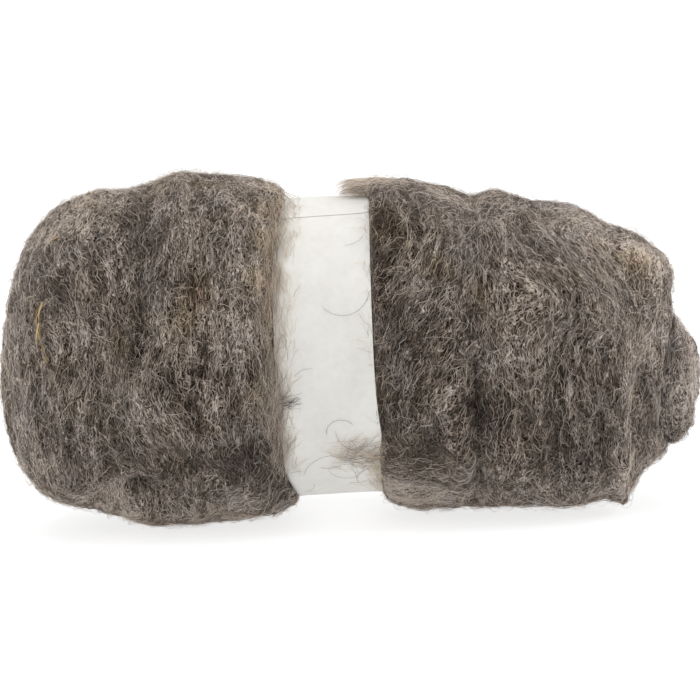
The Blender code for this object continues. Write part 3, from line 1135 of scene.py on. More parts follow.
@dataclass
class Ground:
    """A grid of points that strands grow along, with what stands at each point.

    The rows run along the roll, and the columns close round it. The channels hold all
    of it in one array, in the places named below.
    """

    POINT, NORMAL, BY_ROW, BY_COLUMN = slice(0, 3), slice(3, 6), slice(6, 9), slice(9, 12)
    TURN, TONE, TINT = 12, 13, 14

    points: Array
    turn: Array
    tone: Array
    tint: Array
    weight: Array
    channels: Array = field(init=False)
    area: float = field(init=False)

    def __post_init__(self) -> None:
        """Works out the tangents, normals and area, and each point's share of that."""
        by_row = np.gradient(self.points, axis=0)
        by_column = (np.roll(self.points, -1, axis=1) - np.roll(self.points, 1, axis=1)) / 2
        across = np.cross(by_row, by_column)
        plain = (self.turn, self.tone, self.tint)
        stacked = [self.points, unit(across), by_row, by_column]
        stacked += [value[..., None] for value in plain]
        self.channels = np.concatenate(stacked, axis=-1)
        patch = np.linalg.norm(across, axis=-1)
        self.area = float(patch.sum())
        share = patch * self.weight
        self.weight = share / share.sum()

    def fill(self, **values: float) -> None:
        """Sets turn, tone or tint to one value everywhere."""
        for name, value in values.items():
            self.channels[..., getattr(self, name.upper())] = value

    def favour(self, share: Array) -> None:
        """Multiplies the weight by a share and makes its sum one again."""
        self.weight = self.weight * share
        self.weight = self.weight / self.weight.sum()

    def read(self, row: Array, column: Array) -> Array:
        """All channels at places between the grid's points, weighted linearly.

        Args:
            row: Rows, held within the grid.
            column: Columns, which go round.

        Returns:
            One row of channels for each place.
        """
        rows, columns = self.points.shape[:2]
        row = np.clip(row, 0, rows - 1.001)
        low_row, low_column = np.floor(row).astype(int), np.floor(column).astype(int)
        part, share = (row - low_row)[..., None], (column - low_column)[..., None]
        left, right = low_column % columns, (low_column + 1) % columns
        below = self.channels[low_row, left] * (1 - share) + self.channels[low_row, right] * share
        above = self.channels[low_row + 1, left] * (1 - share)
        above = above + self.channels[low_row + 1, right] * share
        return below * (1 - part) + above * part

    def scatter(self, count: int, draw: np.random.Generator) -> tuple[Array, Array]:
        """Rows and columns of places spread over the area by its weight.

        Args:
            count: Number of places.
            draw: The source of chance.

        Returns:
            Both, for each place.
        """
        cell = draw.choice(self.weight.size, count, p=self.weight.ravel())
        row, column = np.divmod(cell, self.weight.shape[1])
        return row + draw.uniform(-0.5, 0.5, count), column + draw.uniform(-0.5, 0.5, count)


@dataclass(frozen=True)
class StrandKind:
    """How one kind of strand grows, in millimetres and degrees.

    A lock is a few strands that crimp together. Crimp is the swing to both sides over
    each wave, stray the spread of headings, and curl the bend for each millimetre.
    """

    count: int
    length: tuple[float, float]
    width: tuple[float, float]
    lift: tuple[float, float]
    segments: int
    crimp: tuple[float, float]
    lock: int = 1
    lock_spread: float = 0.8
    stray: float = 22.0
    wave: tuple[float, float] = (2.6, 4.4)
    curl: float = 5.0
    tone: float = 0.0
    tone_spread: float = 0.15
    tint_spread: float = 0.07


@dataclass
class Strands:
    """Many strands as arrays: their paths, normals, radii, tones and tints."""

    SIDES = 3
    UV_CELL = 1 / 64
    TIP_SIZE = 0.12
    TAPER = 3.2
    LOWEST = 0.05

    paths: Array
    normals: Array
    radii: Array
    tones: Array
    tints: Array

    @classmethod
    def joined(cls, parts: "list[Strands]") -> "Strands":
        """All strands of several sets whose paths have the same number of points."""
        names = [entry.name for entry in fields(cls)]
        return cls(*(np.concatenate([getattr(part, name) for part in parts]) for name in names))

    def slice(self, start: int, stop: int) -> "Strands":
        """Some of the strands, by number."""
        return Strands(*(getattr(self, entry.name)[start:stop] for entry in fields(self)))

    def dress(self, name: str, material: bpy.types.Material) -> bpy.types.Object:
        """Sweeps a small triangle along each path, its size a sine at both ends.

        The place in the UV map is the strand's tone and tint, each within a small cell
        whose own width and height take the turn round the strand and the way along it.

        Args:
            name: The piece's name.
            material: The strands' finish.

        Returns:
            The piece.
        """
        sides, cell = self.SIDES, self.UV_CELL
        count, steps = self.paths.shape[:2]
        tangent = unit(np.gradient(self.paths, axis=1))
        side = unit(np.cross(tangent, self.normals))
        up = np.cross(side, tangent)
        turns = FULL_TURN * (np.arange(sides) + 0.75) / sides
        ring = np.cos(turns)[:, None] * side[:, :, None] + np.sin(turns)[:, None] * up[:, :, None]
        way = np.linspace(0, 1, steps)
        rise = np.sin(math.pi * np.clip(way, 0.02, 0.98)) * self.TAPER
        taper = np.clip(rise, self.TIP_SIZE, 1)
        size = self.radii[:, None, None, None] * taper[None, :, None, None]
        points = self.paths[:, :, None] + ring * size
        points[..., 2] = np.maximum(points[..., 2], self.LOWEST)
        base = (np.arange(count) * steps * sides)[:, None, None]
        ring_start = np.arange(steps - 1)[None, :, None] * sides
        corner = np.arange(sides)[None, None, :]
        after = (corner + 1) % sides
        here, there = base + ring_start, base + ring_start + sides
        walls = np.stack([here + corner, there + corner, there + after, here + after], axis=-1)
        first = base[:, 0] + np.arange(sides)
        last = base[:, 0] + (steps - 1) * sides + np.arange(sides)[::-1]
        tones = np.clip(self.tones, 0.01, 0.99)[:, None, None]
        tints = np.clip(self.tints, 0.01, 0.99)[:, None, None]
        around = (np.arange(sides) / (sides - 1))[None, None, :]
        u = tones * (1 - cell) + cell * around + 0 * way[None, :, None]
        v = tints * (1 - cell) + cell * way[None, :, None] + 0 * around
        uv = np.stack([u, v], axis=-1).reshape(-1, 2)
        groups = [walls.reshape(-1, 4), np.concatenate([first, last])]
        return make_piece(name, points.reshape(-1, 3) * MM, groups, material, uv)


def advance(state: Array, heading: Array, step: Array) -> tuple[Array, Array]:
    """How far a step over the ground goes in the grid's rows and columns.

    The step in space is a sum of both tangents. Their two shares come from its products
    with the tangents, by Cramer's rule, and are held where the tangents nearly vanish.

    Args:
        state: The ground's channels where each strand stands.
        heading: Turn from upright of each strand, in radians.
        step: Length of the step in millimetres.

    Returns:
        Rows and columns to move on by.
    """
    by_row, by_column = state[:, Ground.BY_ROW], state[:, Ground.BY_COLUMN]
    upward = unit(by_column)
    onward = np.cross(upward, unit(state[:, Ground.NORMAL]))
    onward *= np.sign(dot(onward, by_row))[:, None]
    move = np.cos(heading)[:, None] * upward + np.sin(heading)[:, None] * onward
    move *= step[:, None]
    rr, rc = dot(by_row, by_row), dot(by_row, by_column)
    cc = np.maximum(dot(by_column, by_column), 0.01)
    to_row, to_column = dot(move, by_row), dot(move, by_column)
    area = np.maximum(rr * cc - rc * rc, 0.02 * rr * cc + 1e-6)
    rows = np.clip((to_row * cc - to_column * rc) / area, -MOST_ROWS, MOST_ROWS)
    columns = np.clip((to_column * rr - to_row * rc) / area, -MOST_COLUMNS, MOST_COLUMNS)
    return rows, columns


def grow(
    ground: Ground,
    kind: StrandKind,
    draw: np.random.Generator,
    places: tuple[Array, Array] | None = None,
    given: dict[str, Array] | None = None,
) -> Strands:
    """Grows strands over a ground.

    Each step takes its heading from the ground's own lay, a sine for the crimp and a
    steady curl, and moves that way in the tangent plane. The path then stands off the
    ground by a sine of the way along it, with both ends just under the surface.

    Args:
        ground: What the strands lie on.
        kind: Their sizes and habits.
        draw: The source of chance.
        places: Rows and columns that the locks start from, or None for places by area.
        given: Habits of each lock that chance doesn't set.

    Returns:
        The grown strands.
    """
    locks = max(1, kind.count // kind.lock)
    row, column = ground.scatter(locks, draw) if places is None else places
    own = {
        "stray": draw.normal(0, kind.stray, locks),
        "curl": draw.normal(0, kind.curl, locks),
        "crimp": draw.uniform(*kind.crimp, locks),
        "wave": draw.uniform(*kind.wave, locks),
        "phase": draw.uniform(0, FULL_TURN, locks),
        "length": draw.uniform(*kind.length, locks),
        "tone": draw.normal(kind.tone, kind.tone_spread * EVEN_SHARE, locks),
        "tint": draw.normal(0, kind.tint_spread, locks),
    }
    own.update(given or {})
    own = {key: np.repeat(value, kind.lock).astype(float) for key, value in own.items()}
    row, column = np.repeat(row, kind.lock), np.repeat(column, kind.lock)
    count = len(row)
    state = ground.read(row, column)
    shift = draw.normal(0, kind.lock_spread, (2, count))
    by_row, by_column = state[:, Ground.BY_ROW], state[:, Ground.BY_COLUMN]
    row = row + shift[0] / np.maximum(np.linalg.norm(by_row, axis=-1), 0.2)
    column = column + shift[1] / np.maximum(np.linalg.norm(by_column, axis=-1), 0.2)
    own["stray"] += draw.normal(0, kind.stray * STRAY_IN_LOCK, count)
    own["phase"] += draw.normal(0, 0.5, count)
    own["length"] *= draw.uniform(0.8, 1.15, count)
    step = own["length"] / kind.segments
    points, normals, shades = [], [], []
    for index in range(kind.segments + 1):
        state = ground.read(row, column)
        points.append(state[:, Ground.POINT])
        normals.append(unit(state[:, Ground.NORMAL]))
        shades.append(state[:, [Ground.TONE, Ground.TINT]])
        gone = index * step
        swing = own["crimp"] * np.sin(FULL_TURN * gone / own["wave"] + own["phase"])
        turn = state[:, Ground.TURN] + own["stray"] + own["curl"] * gone + swing
        rows, columns = advance(state, np.radians(turn), step)
        row, column = row + rows, column + columns
    points, normals = np.stack(points, axis=1), np.stack(normals, axis=1)
    way = np.linspace(0, 1, kind.segments + 1)
    lift = draw.uniform(*kind.lift, count)[:, None]
    peak = draw.uniform(0.75, 1.6, count)[:, None]
    stand = (lift + ROOT_DEPTH) * np.sin(math.pi * way[None] ** peak) ** 0.8 - ROOT_DEPTH
    paths = points + normals * stand[..., None]
    shade = shades[kind.segments // 2]
    tones = shade[:, 0] + own["tone"] + draw.normal(0, kind.tone_spread * EVEN_SHARE, count)
    tints = shade[:, 1] + own["tint"]
    radii = draw.uniform(*kind.width, count) / 2
    return Strands(paths, normals, radii, tones, tints)


# ---------------------------------------------------------------- the wool


@dataclass
class WoolRoll:
    """The wool itself: one padded body in the CAD roll's form, which the coat grows on."""

    columns: int = 236
    pitch: float = 1.75
    waist_pitch: float = 13.0
    core_pitch: float = 1.225
    cap_tip: float = 58.0
    cap_steps: int = 44
    cap_sag: float = 3.4
    sag_start: float = 16.0
    sag_run: float = 28.0
    tip_end: float = 12.0
    tip_roughness: float = 0.8
    tip_gap: float = 2.0
    level_from: float = 60.0
    plain_tone: float = 0.5
    plain_tint: float = 0.45
    # Painted shade in creases and painted light on ridges, as tone for each millimetre of fold
    # height.
    painted_fold_shading: float = 0.05
    # Painted light on the left lip's edge, as tone; edge_tint is the wool's own fawn.
    lip_painted_light: float = 0.18
    edge_tint: float = 0.14
    brightest: float = 1.06
    front_end: float = 20.0
    front_share: float = 1.35
    back_share: float = 0.75
    under_share: float = 0.25
    shell_start: float = -130.0
    shell_growth: float = 0.16
    shell_turn: float = 0.88

    def __post_init__(self) -> None:
        """Works out the surface once for all that grows on it."""
        self.angles = np.arange(self.columns)[None, :] * 360 / self.columns
        self.rows = self.section_rows()
        self.points = self.surface()
        middle = (self.rows[:, 1:2] + self.rows[:, 2:3]) / 2
        self.radius = np.hypot(self.points[..., 1], self.points[..., 2] - middle)
        self.turn, self.combed, self.slant = self.lay_fields()
        self.tone, self.tint = self.shade_fields()

    def section_rows(self) -> Array:
        """Section values of every row; the cap's sizes are sines of its turn to 2/PLUMPNESS.

        Returns:
            One row for each ring.
        """
        rim = LEFT_LOBE[0]
        turns = np.linspace(0, math.pi / 2, self.cap_steps + 1)[1:-1]
        grow_out = np.sin(turns) ** (2 / PLUMPNESS)
        along = rim.along * (1 - np.cos(turns) ** (2 / PLUMPNESS))
        bottom = self.cap_tip + (rim.bottom - self.cap_tip) * grow_out
        top = self.cap_tip + (rim.top - self.cap_tip) * grow_out
        soft = np.clip((grow_out - 0.3) / 0.5, 0, 1)
        none = np.zeros((len(grow_out), 3))
        cap = np.column_stack([along, bottom, top, rim.depth * grow_out, none, soft])
        left = smooth_rows(LEFT_LOBE, self.pitch)
        waist = smooth_rows(WAIST, self.waist_pitch)
        right = smooth_rows(RIGHT_LOBE, self.pitch)
        core = smooth_rows(END_CORE, self.core_pitch)
        self.left_end = len(cap) + len(left) - 1
        self.right_start = len(cap) + len(left) + len(waist)
        self.core_start = self.right_start + len(right)
        return np.vstack([cap, left, waist, right, core])

    def surface(self) -> Array:
        """Points of the body in millimetres, one row for each section.

        A superellipse in each section, moved out by the folds and waves, along X by the
        lips, crowns and scroll grooves, then by clumps of noise along the normal.

        Returns:
            Rows of points round the roll.
        """
        along, bottom, top, depth, forward, lip, crown, soft = self.rows.T[:, :, None]
        angles = self.angles
        y, z = round_points(angles, bottom, top, depth)
        z = z - self.cap_sag * (1 - smooth_step(along, self.sag_start, self.sag_run))
        row = np.arange(len(self.rows))[:, None]
        turned = ((angles - self.shell_start) % 360) / 360
        grown = np.minimum(turned / self.shell_turn, (1 - turned) / (1 - self.shell_turn))
        shell = self.shell_growth * (grown - 0.5) * (row >= self.core_start)
        middle = (bottom + top) / 2
        y = y * (1 + shell) - forward
        z = middle + (z - middle) * (1 + shell)
        over = np.where(
            self.left_side(), summed_reach(LEFT_LIPS, angles), -summed_reach(RIGHT_LIPS, angles)
        )
        x = along + over * lip + summed_reach(CROWNS, angles) * crown
        height = fold_height(MAIN_FOLDS, along, angles) + fold_height(FINE_FOLDS, along, angles)
        height = (height + wave_height(along, angles)) * soft
        y = y - height * np.cos(np.radians(angles))
        z = z + height * np.sin(np.radians(angles))
        x = x + coil_shift(COILS, along, y, z)
        points = np.stack([x, y, z], axis=-1)
        by_row = np.gradient(points, axis=0)
        by_column = np.roll(points, -1, axis=1) - np.roll(points, 1, axis=1)
        normals = unit(np.cross(by_row, by_column))
        waist = (row > self.left_end - 2) & (row < self.right_start + 2)
        rough = np.where(waist, 0, np.clip(soft * 1.4 + 0.35, 0, 1))
        rough = np.where(along < self.tip_end, self.tip_roughness, rough)
        points = points + normals * (grain_height(CLUMPS, points) * rough)[..., None]
        points[..., 2] = np.maximum(points[..., 2], 0)
        return points

    def left_side(self) -> Array:
        """True for each row that lies left of the waist's middle."""
        return self.rows[:, :1] < (WAIST_LEFT + WAIST_RIGHT) / 2

    def lay_fields(self) -> tuple[Array, Array, Array]:
        """Turn of the strands, share that is combed level, and the upright lay's slant.

        Returns:
            All three, for each point.
        """
        along = self.rows[:, :1]
        turn = np.zeros(self.points.shape[:2])
        combed, slant = np.zeros_like(turn), np.zeros_like(turn)
        for lay in LAYS:
            arc = np.radians(turn_between(self.angles, lay.angle)) * MEAN_RADIUS
            reach = np.radians(lay.reach_round) * MEAN_RADIUS
            share = np.exp(-(((along - lay.along) / lay.reach_along) ** 4) - (arc / reach) ** 4)
            if abs(lay.turn) < self.level_from:
                turn += lay.turn * share
                slant -= math.tan(math.radians(lay.turn)) * arc * share
            else:
                turn = turn * (1 - share) + lay.turn * share
                combed = np.maximum(combed, share)
        return turn + grain_height(SWIRLS, self.points), combed, slant

    def shade_fields(self) -> tuple[Array, Array]:
        """Tone and tint over the body: noise, the table's patches, painted shade and light on the
        fine folds, and painted light on the left lip's edge.

        Returns:
            Both, for each point.
        """
        along, lip = self.rows[:, :1], self.rows[:, 5:6]
        tone = grain_height(TONE_GRAINS, self.points, self.plain_tone)
        tint = grain_height(TINT_GRAINS, self.points, self.plain_tint)
        # Painted shade in the fine creases and painted light on their ridges, through the tone.
        tone += self.painted_fold_shading * fold_height(FINE_FOLDS, along, self.angles)
        for patch in PATCHES:
            arc = np.radians(turn_between(self.angles, patch.angle)) * self.radius
            share = bell(np.hypot(along - patch.along, arc), patch.size)
            tone += patch.tone * share
            tint += patch.tint * share
        # Painted light on the left lip's edge, whose flank faces the paper and lies in shade; the
        # fawn tint there is the wool's own colour.
        edge = lip * self.left_side() * bell(turn_between(self.angles, 40), 46)
        tone, tint = tone + self.lip_painted_light * edge, tint + self.edge_tint * edge
        return np.minimum(tone, self.brightest), np.minimum(tint, Tint.RUST.value)

    def ground(self, start: int, stop: int) -> Ground:
        """A part of the surface in the frame's own place, with more strands where it shows.

        Args:
            start: Its first row.
            stop: The row after its last.

        Returns:
            The ground.
        """
        points = self.points[start:stop] - MIDDLE
        front = np.where(points[..., 1] < self.front_end, self.front_share, self.back_share)
        shown = np.where(points[..., 2] < 2.0, self.under_share, 1.0)
        lay = [values[start:stop] for values in (self.turn, self.tone, self.tint)]
        return Ground(points, *lay, front * shown)

    def travelled(self) -> Array:
        """Way over the surface from the left tip to each row, its mean round the roll."""
        steps = np.linalg.norm(np.diff(self.points, axis=0), axis=-1).mean(axis=1)
        return np.concatenate([[self.tip_gap], self.tip_gap + np.cumsum(steps)])[:, None]

    def body_uv(self, ring: Array) -> Array:
        """UV of each corner: the turn round the roll, and the share of the way along it.

        Args:
            ring: Number of each column.

        Returns:
            One place for each corner, in the faces' order.
        """
        u0, u1 = ring / self.columns, (ring + 1) / self.columns
        gone = self.travelled()
        v = gone / (gone[-1] + self.tip_gap)
        low, high, fan_u = v[:-1], v[1:], (u0 + u1) / 2
        corners_of = (
            (u0, low, u0, high, u1, high, u1, low),
            (fan_u, 0.0, u0, v[0], u1, v[0]),
            (fan_u, 1.0, u1, v[-1], u0, v[-1]),
        )
        parts = [np.stack(np.broadcast_arrays(*values), axis=-1) for values in corners_of]
        return np.concatenate([part.reshape(-1, 2) for part in parts])

    def write_traits(self, piece: bpy.types.Object) -> None:
        """Stores both lays and the shade as vectors at the vertices.

        A lay is a place to read noise at. It is stretched along its fibres, whose way
        runs round the roll in the upright lay, and along it in the level one.

        Args:
            piece: The body, with one vertex for each point and one for each tip.
        """
        turns = np.radians(self.angles)
        arc_y, arc_z = self.radius * np.cos(turns), self.radius * np.sin(turns)
        gone = self.travelled() + 0 * arc_y
        across, lengthwise = 1.3, 0.30
        traits = {
            "upright_lay": ((gone + self.slant) * across, arc_y * lengthwise, arc_z * lengthwise),
            "level_lay": (gone * lengthwise, arc_y * across, arc_z * across),
            "wool_shade": (self.tone, self.tint, self.combed),
        }
        for name, parts in traits.items():
            values = np.stack(parts, axis=-1)
            tips = values[[0, -1]].mean(axis=1)
            flat = np.vstack([values.reshape(-1, 3), tips]).astype(np.float32)
            layer = piece.data.attributes.new(name, "FLOAT_VECTOR", "POINT")
            layer.data.foreach_set("vector", flat.ravel())

    def build_body(self, material: bpy.types.Material) -> bpy.types.Object:
        """The closed body: rings bridged by quads, and a fan of triangles at each tip.

        Args:
            material: The felt's finish.

        Returns:
            The piece, which stands for the CAD solid.
        """
        rows, columns = self.points.shape[:2]
        tips = self.points[[0, -1]].mean(axis=1)
        points = np.vstack([self.points.reshape(-1, 3), tips]) - MIDDLE
        ring = np.arange(columns)
        after = (ring + 1) % columns
        last = (rows - 1) * columns
        start_fan = np.stack([np.full(columns, rows * columns), ring, after], axis=-1)
        end_fan = np.stack([np.full(columns, rows * columns + 1), last + after, last + ring], -1)
        groups = [grid_faces(rows, columns), start_fan, end_fan]
        uv = self.body_uv(ring)
        piece = make_piece("wool_body", points * MM, groups, material, uv, per_corner=True)
        self.write_traits(piece)
        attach(piece, "root")
        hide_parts("wool_roll")
        return piece


# ---------------------------------------------------------------- the paper band


@dataclass
class PaperBand:
    """One strip of paper wound once round the waist, its outer end lying over its start."""

    width: float = 38.4
    left: float = 113.0
    thickness: float = 0.16
    start_angle: float = 95.0
    end_angle: float = -294.0
    end_slant: float = 1.0
    inner_out: float = 0.72
    outer_out: float = 0.93
    flare: float = 0.28
    slack: float = 1.2
    slack_angle: float = -80.0
    slack_spread: float = 34.0
    skew: float = 2.6
    skew_angle: float = -44.0
    skew_spread: float = 24.0
    climb_from: float = 222.0
    climb_turn: float = 40.0
    lift: float = 0.03
    lift_turn: float = 10.0
    sway: float = 0.35
    ripple: float = 0.22
    ripple_cell: float = 19.0
    ripple_seed: int = 51
    stations: int = 240
    across: int = 16
    ground_start: float = 100.0
    ground_pitch: float = 1.25
    ground_rows: int = 53
    ground_turn: float = 2.0
    ground_out: float = 1.45
    lip_rise: float = 4.6
    lip_start: float = 116.0
    lip_run: float = 6.5
    lip_until: float = 125.0
    rise_start: float = 124.0
    rise_run: float = 18.0

    def surface(self, along: Array, angles: Array, out: Array) -> Array:
        """Points at a distance out from the waist, in the frame's own millimetres."""
        y, z = round_points(angles, WAIST_BOTTOM - out, WAIST_TOP + out, WAIST_DEPTH + 2 * out)
        return np.stack(np.broadcast_arrays(along - MIDDLE[0], y, z), axis=-1)

    def slack_at(self, angles: Array) -> Array:
        """How far the paper hangs off the wool: a bell curve round the roll's underside."""
        return self.slack * bell(turn_between(angles, self.slack_angle), self.slack_spread)

    def ground_angles(self) -> Array:
        """Angles of the columns of the ground."""
        return np.arange(0, 360, self.ground_turn)[None, :]

    def ground(self, low: float, high: float, rise: float = 0.0) -> Ground:
        """A grid for what lies on the paper.

        It stands just over the paper, and climbs onto the lip of the left lobe by a
        smooth step. To the right it rises by another, as high as rise.

        Args:
            low: Where the fibres start along the roll, in front of the lip's reach.
            high: Where they stop.
            rise: Height that the grid gains at its right.

        Returns:
            The ground, with its weight between low and high.
        """
        along = self.ground_start + self.ground_pitch * np.arange(self.ground_rows)[:, None]
        angles = self.ground_angles()
        reach = summed_reach(LEFT_LIPS, angles)
        right = smooth_step(along, self.rise_start, self.rise_run)
        left = smooth_step(self.lip_start + reach - along, 0, self.lip_run)
        out = self.ground_out + self.slack_at(angles) + rise * right + self.lip_rise * left
        points = self.surface(along, angles, out)
        plain = np.zeros(points.shape[:2])
        own = along - np.where(along < self.lip_until, reach, 0)
        inside = (own > low) & (own < high)
        return Ground(points, plain, plain + 0.5, plain + 0.5, inside + 1e-9)

    def place(self, along: Array, angles: Array) -> tuple[Array, Array]:
        """Row and column of the ground at a place along and round the roll."""
        return (along - self.ground_start) / self.ground_pitch, (angles % 360) / self.ground_turn

    @staticmethod
    def fine_ended(count: int, edge: float) -> Array:
        """Even steps from 0 to 1 with a narrow one at each end, for crisp shading there."""
        return np.concatenate([[0.0], np.linspace(edge, 1 - edge, count - 2), [1.0]])

    def strip_points(self) -> Array:
        """Closed loops round the strip's cut edge, one for each station along it.

        The strip runs down the front, under the roll and up its back. Its distance
        from the waist rises by a smooth step where it climbs onto its own start, and
        its free end lifts by the square of the way past there.

        Returns:
            The loops, in millimetres.
        """
        way = self.fine_ended(self.stations, 0.0004)[:, None]
        part = self.fine_ended(self.across, 0.004)[None, :]
        end = self.end_angle + self.end_slant * (part - 0.5) * 2
        angles = self.start_angle + (end - self.start_angle) * way
        climb = smooth_step(-angles, self.climb_from, self.climb_turn)
        out = self.inner_out + (self.outer_out - self.inner_out) * climb
        free = np.clip((self.end_angle + self.lift_turn - angles) / self.lift_turn, 0, 1)
        out = out + self.lift * free**2
        out = out + self.flare * np.clip((part - 0.8) / 0.2, 0, 1) ** 2
        out = out + self.slack_at(angles) * (1.2 - 0.7 * part)
        skew = self.skew * bell(turn_between(angles, self.skew_angle), self.skew_spread)
        along = self.left + self.width * part + self.sway * np.sin(3 * math.pi * way)
        along = along + skew * (0.5 + 0.5 * part)
        turns = np.radians(angles)
        places = [along / self.ripple_cell, 2.7 * np.cos(turns), 2.7 * np.sin(turns)]
        noise = lattice_noise(np.stack(places, axis=-1) + 4.2, self.ripple_seed)
        out = out + np.abs(self.ripple * noise)
        half = self.thickness / 2
        outer = self.surface(along + 0 * angles, angles, out + half)
        inner = self.surface(along + 0 * angles, angles, out - half)
        return np.concatenate([outer, inner[:, ::-1]], axis=1)

    def build(self, material: bpy.types.Material) -> bpy.types.Object:
        """Args:
            material: The paper's finish.

        Returns:
            The strip, which stands for the CAD band.
        """
        loops = self.strip_points()
        rows, around = loops.shape[:2]
        walls = grid_faces(rows, around)
        low = np.arange(self.across - 1)
        start = np.stack([low, low + 1, around - 2 - low, around - 1 - low], axis=-1)
        finish = (rows - 1) * around + start[:, ::-1]
        groups = [walls[:, ::-1], np.vstack([start[:, ::-1], finish[:, ::-1]])]
        piece = make_piece("paper_strip", loops.reshape(-1, 3) * MM, groups, material)
        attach(piece, "root")
        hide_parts("paper_band")
        return piece


# ---------------------------------------------------------------- loose fibres


class Seed(Enum):
    """Where chance starts for each kind of loose fibre."""

    COAT = 101
    SEAM = 104
    HALO = 202
    CROSS = 203
    FLUFF = 303
    HAIRS = 404
    STRAWS = 505

    def draw(self) -> np.random.Generator:
        """A new source of chance."""
        return np.random.default_rng(self.value)


class Fleece:
    """All loose strands: the matted coat, the halo, the fluff on the paper and the straw."""

    COAT = StrandKind(
        12000, length=(7, 12), width=(0.10, 0.17), lift=(0.1, 0.9), segments=6, crimp=(14, 34),
        lock=2, lock_spread=0.6, wave=(4.0, 7.0), tone=0.16, tone_spread=0.36,
    )
    CROSS = StrandKind(
        350, length=(12, 26), width=(0.11, 0.17), lift=(0.5, 1.5), segments=20, crimp=(10, 24),
        stray=34, wave=(3, 6), curl=2.5, tone=0.36,
    )
    HALO = StrandKind(
        6000, length=(4, 9), width=(0.07, 0.13), lift=(0.4, 2.6), segments=5, crimp=(8, 26),
        stray=44, curl=9, tone=0.36,
    )
    FLUFF = StrandKind(
        900, length=(4, 10), width=(0.07, 0.14), lift=(0.3, 1.8), segments=6, crimp=(8, 20),
        stray=32, wave=(3.5, 6.0), curl=3, tone_spread=0.24,
    )
    STRAW_SPLINTERS = 6
    BARE_PAPER = (100, 165)
    HAIR_TONE, HAIR_TINT, HAIR_CRIMP = 0.24, 0.4, 5.0
    SEAM_ROWS, SEAM_TURN = (-7, 9), 78.0

    def __init__(self, roll: WoolRoll, band: PaperBand) -> None:
        """Takes the roll and band that the fibres grow on.

        Args:
            roll: The wool.
            band: The paper.
        """
        self.roll = roll
        self.band = band
        self.fibre = StrandFinish("grey_wool_fibres").make()

    def spans(self) -> tuple[tuple[int, int], ...]:
        """First and last rows in sight of the left lobe, the right lobe and the core."""
        roll = self.roll
        return (
            (2, roll.left_end + 1),
            (roll.right_start + 1, roll.core_start - 1),
            (roll.core_start + 3, len(roll.rows) - 1),
        )

    def spread(self, kind: StrandKind, draw: np.random.Generator) -> list[Strands]:
        """Strands of one kind over the lobes and the core, shared out by area.

        Args:
            kind: Their sizes and habits.
            draw: The source of chance.

        Returns:
            A set for each lobe, and one for the core.
        """
        grounds = [self.roll.ground(*span) for span in self.spans()]
        areas = np.array([ground.area for ground in grounds])
        counts = (kind.count * areas / areas.sum()).astype(int).tolist()
        return [grow(ground, replace(kind, count=n), draw) for ground, n in zip(grounds, counts)]

    def dress(self, strands: Strands, name: str) -> bpy.types.Object:
        """Makes the strands a piece of the wool.

        Args:
            strands: What to sweep.
            name: The piece's name.

        Returns:
            The piece.
        """
        piece = strands.dress(name, self.fibre)
        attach(piece, "root")
        return piece

    def build_coat(self) -> None:
        """The matted coat: two pieces for each lobe, and one for the core and its seam."""
        left, right, core = self.spread(self.COAT, Seed.COAT.draw())
        for side, strands in (("left", left), ("right", right)):
            half = len(strands.radii) // 2
            for index, letter in enumerate("ab"):
                part = strands.slice(index * half, (index + 1) * half)
                self.dress(part, f"wool_strands_{side}_{letter}")
        seam = self.roll.ground(*(self.roll.core_start + row for row in self.SEAM_ROWS))
        seam.fill(turn=self.SEAM_TURN)
        kind = replace(self.COAT, count=640, lift=(0.3, 1.8), stray=34)
        bridge = grow(seam, kind, Seed.SEAM.draw())
        self.dress(Strands.joined([core, bridge]), "wool_strands_core")

    def build_halo(self) -> None:
        """Fine flyaway fibres that soften the outline, and long bright ones over the coat."""
        self.dress(Strands.joined(self.spread(self.HALO, Seed.HALO.draw())), "wool_halo")
        self.dress(Strands.joined(self.spread(self.CROSS, Seed.CROSS.draw())), "cross_fibres")

    def build_fluff(self) -> None:
        """Fibres of both lobes that lie over the edges of the paper."""
        draw, parts = Seed.FLUFF.draw(), []
        for fringe in FRINGES:
            ground = self.band.ground(fringe.low, fringe.high, fringe.rise)
            turns = turn_between(self.band.ground_angles(), fringe.angle)
            ground.favour(np.exp(-((turns / fringe.spread) ** 4)))
            ground.fill(turn=fringe.turn, tone=fringe.tone, tint=fringe.tint)
            kind = replace(
                self.FLUFF,
                count=fringe.count,
                length=(fringe.length * 0.6, fringe.length * 1.3),
                lift=(0.2, fringe.lift),
                stray=fringe.stray,
            )
            parts.append(grow(ground, kind, draw))
        self.dress(Strands.joined(parts), "edge_fluff")

    def build_hairs(self) -> None:
        """Single dark hairs that lie on the paper in loops."""
        ground = self.band.ground(*self.BARE_PAPER)
        along, angle, way, length, bend = (np.array(value, float) for value in zip(*HAIRS))
        size = {"width": (0.10, 0.14), "lift": (0.1, 0.4), "segments": 30}
        kind = replace(self.HALO, count=len(HAIRS), stray=0, lock_spread=0, **size)
        crimp = np.full(len(HAIRS), self.HAIR_CRIMP)
        own = {"stray": way, "curl": bend, "length": length, "crimp": crimp}
        hairs = grow(ground, kind, Seed.HAIRS.draw(), self.band.place(along, angle), own)
        hairs.tones = np.full(len(HAIRS), self.HAIR_TONE)
        hairs.tints = np.full(len(HAIRS), self.HAIR_TINT)
        self.dress(hairs, "stray_hairs")

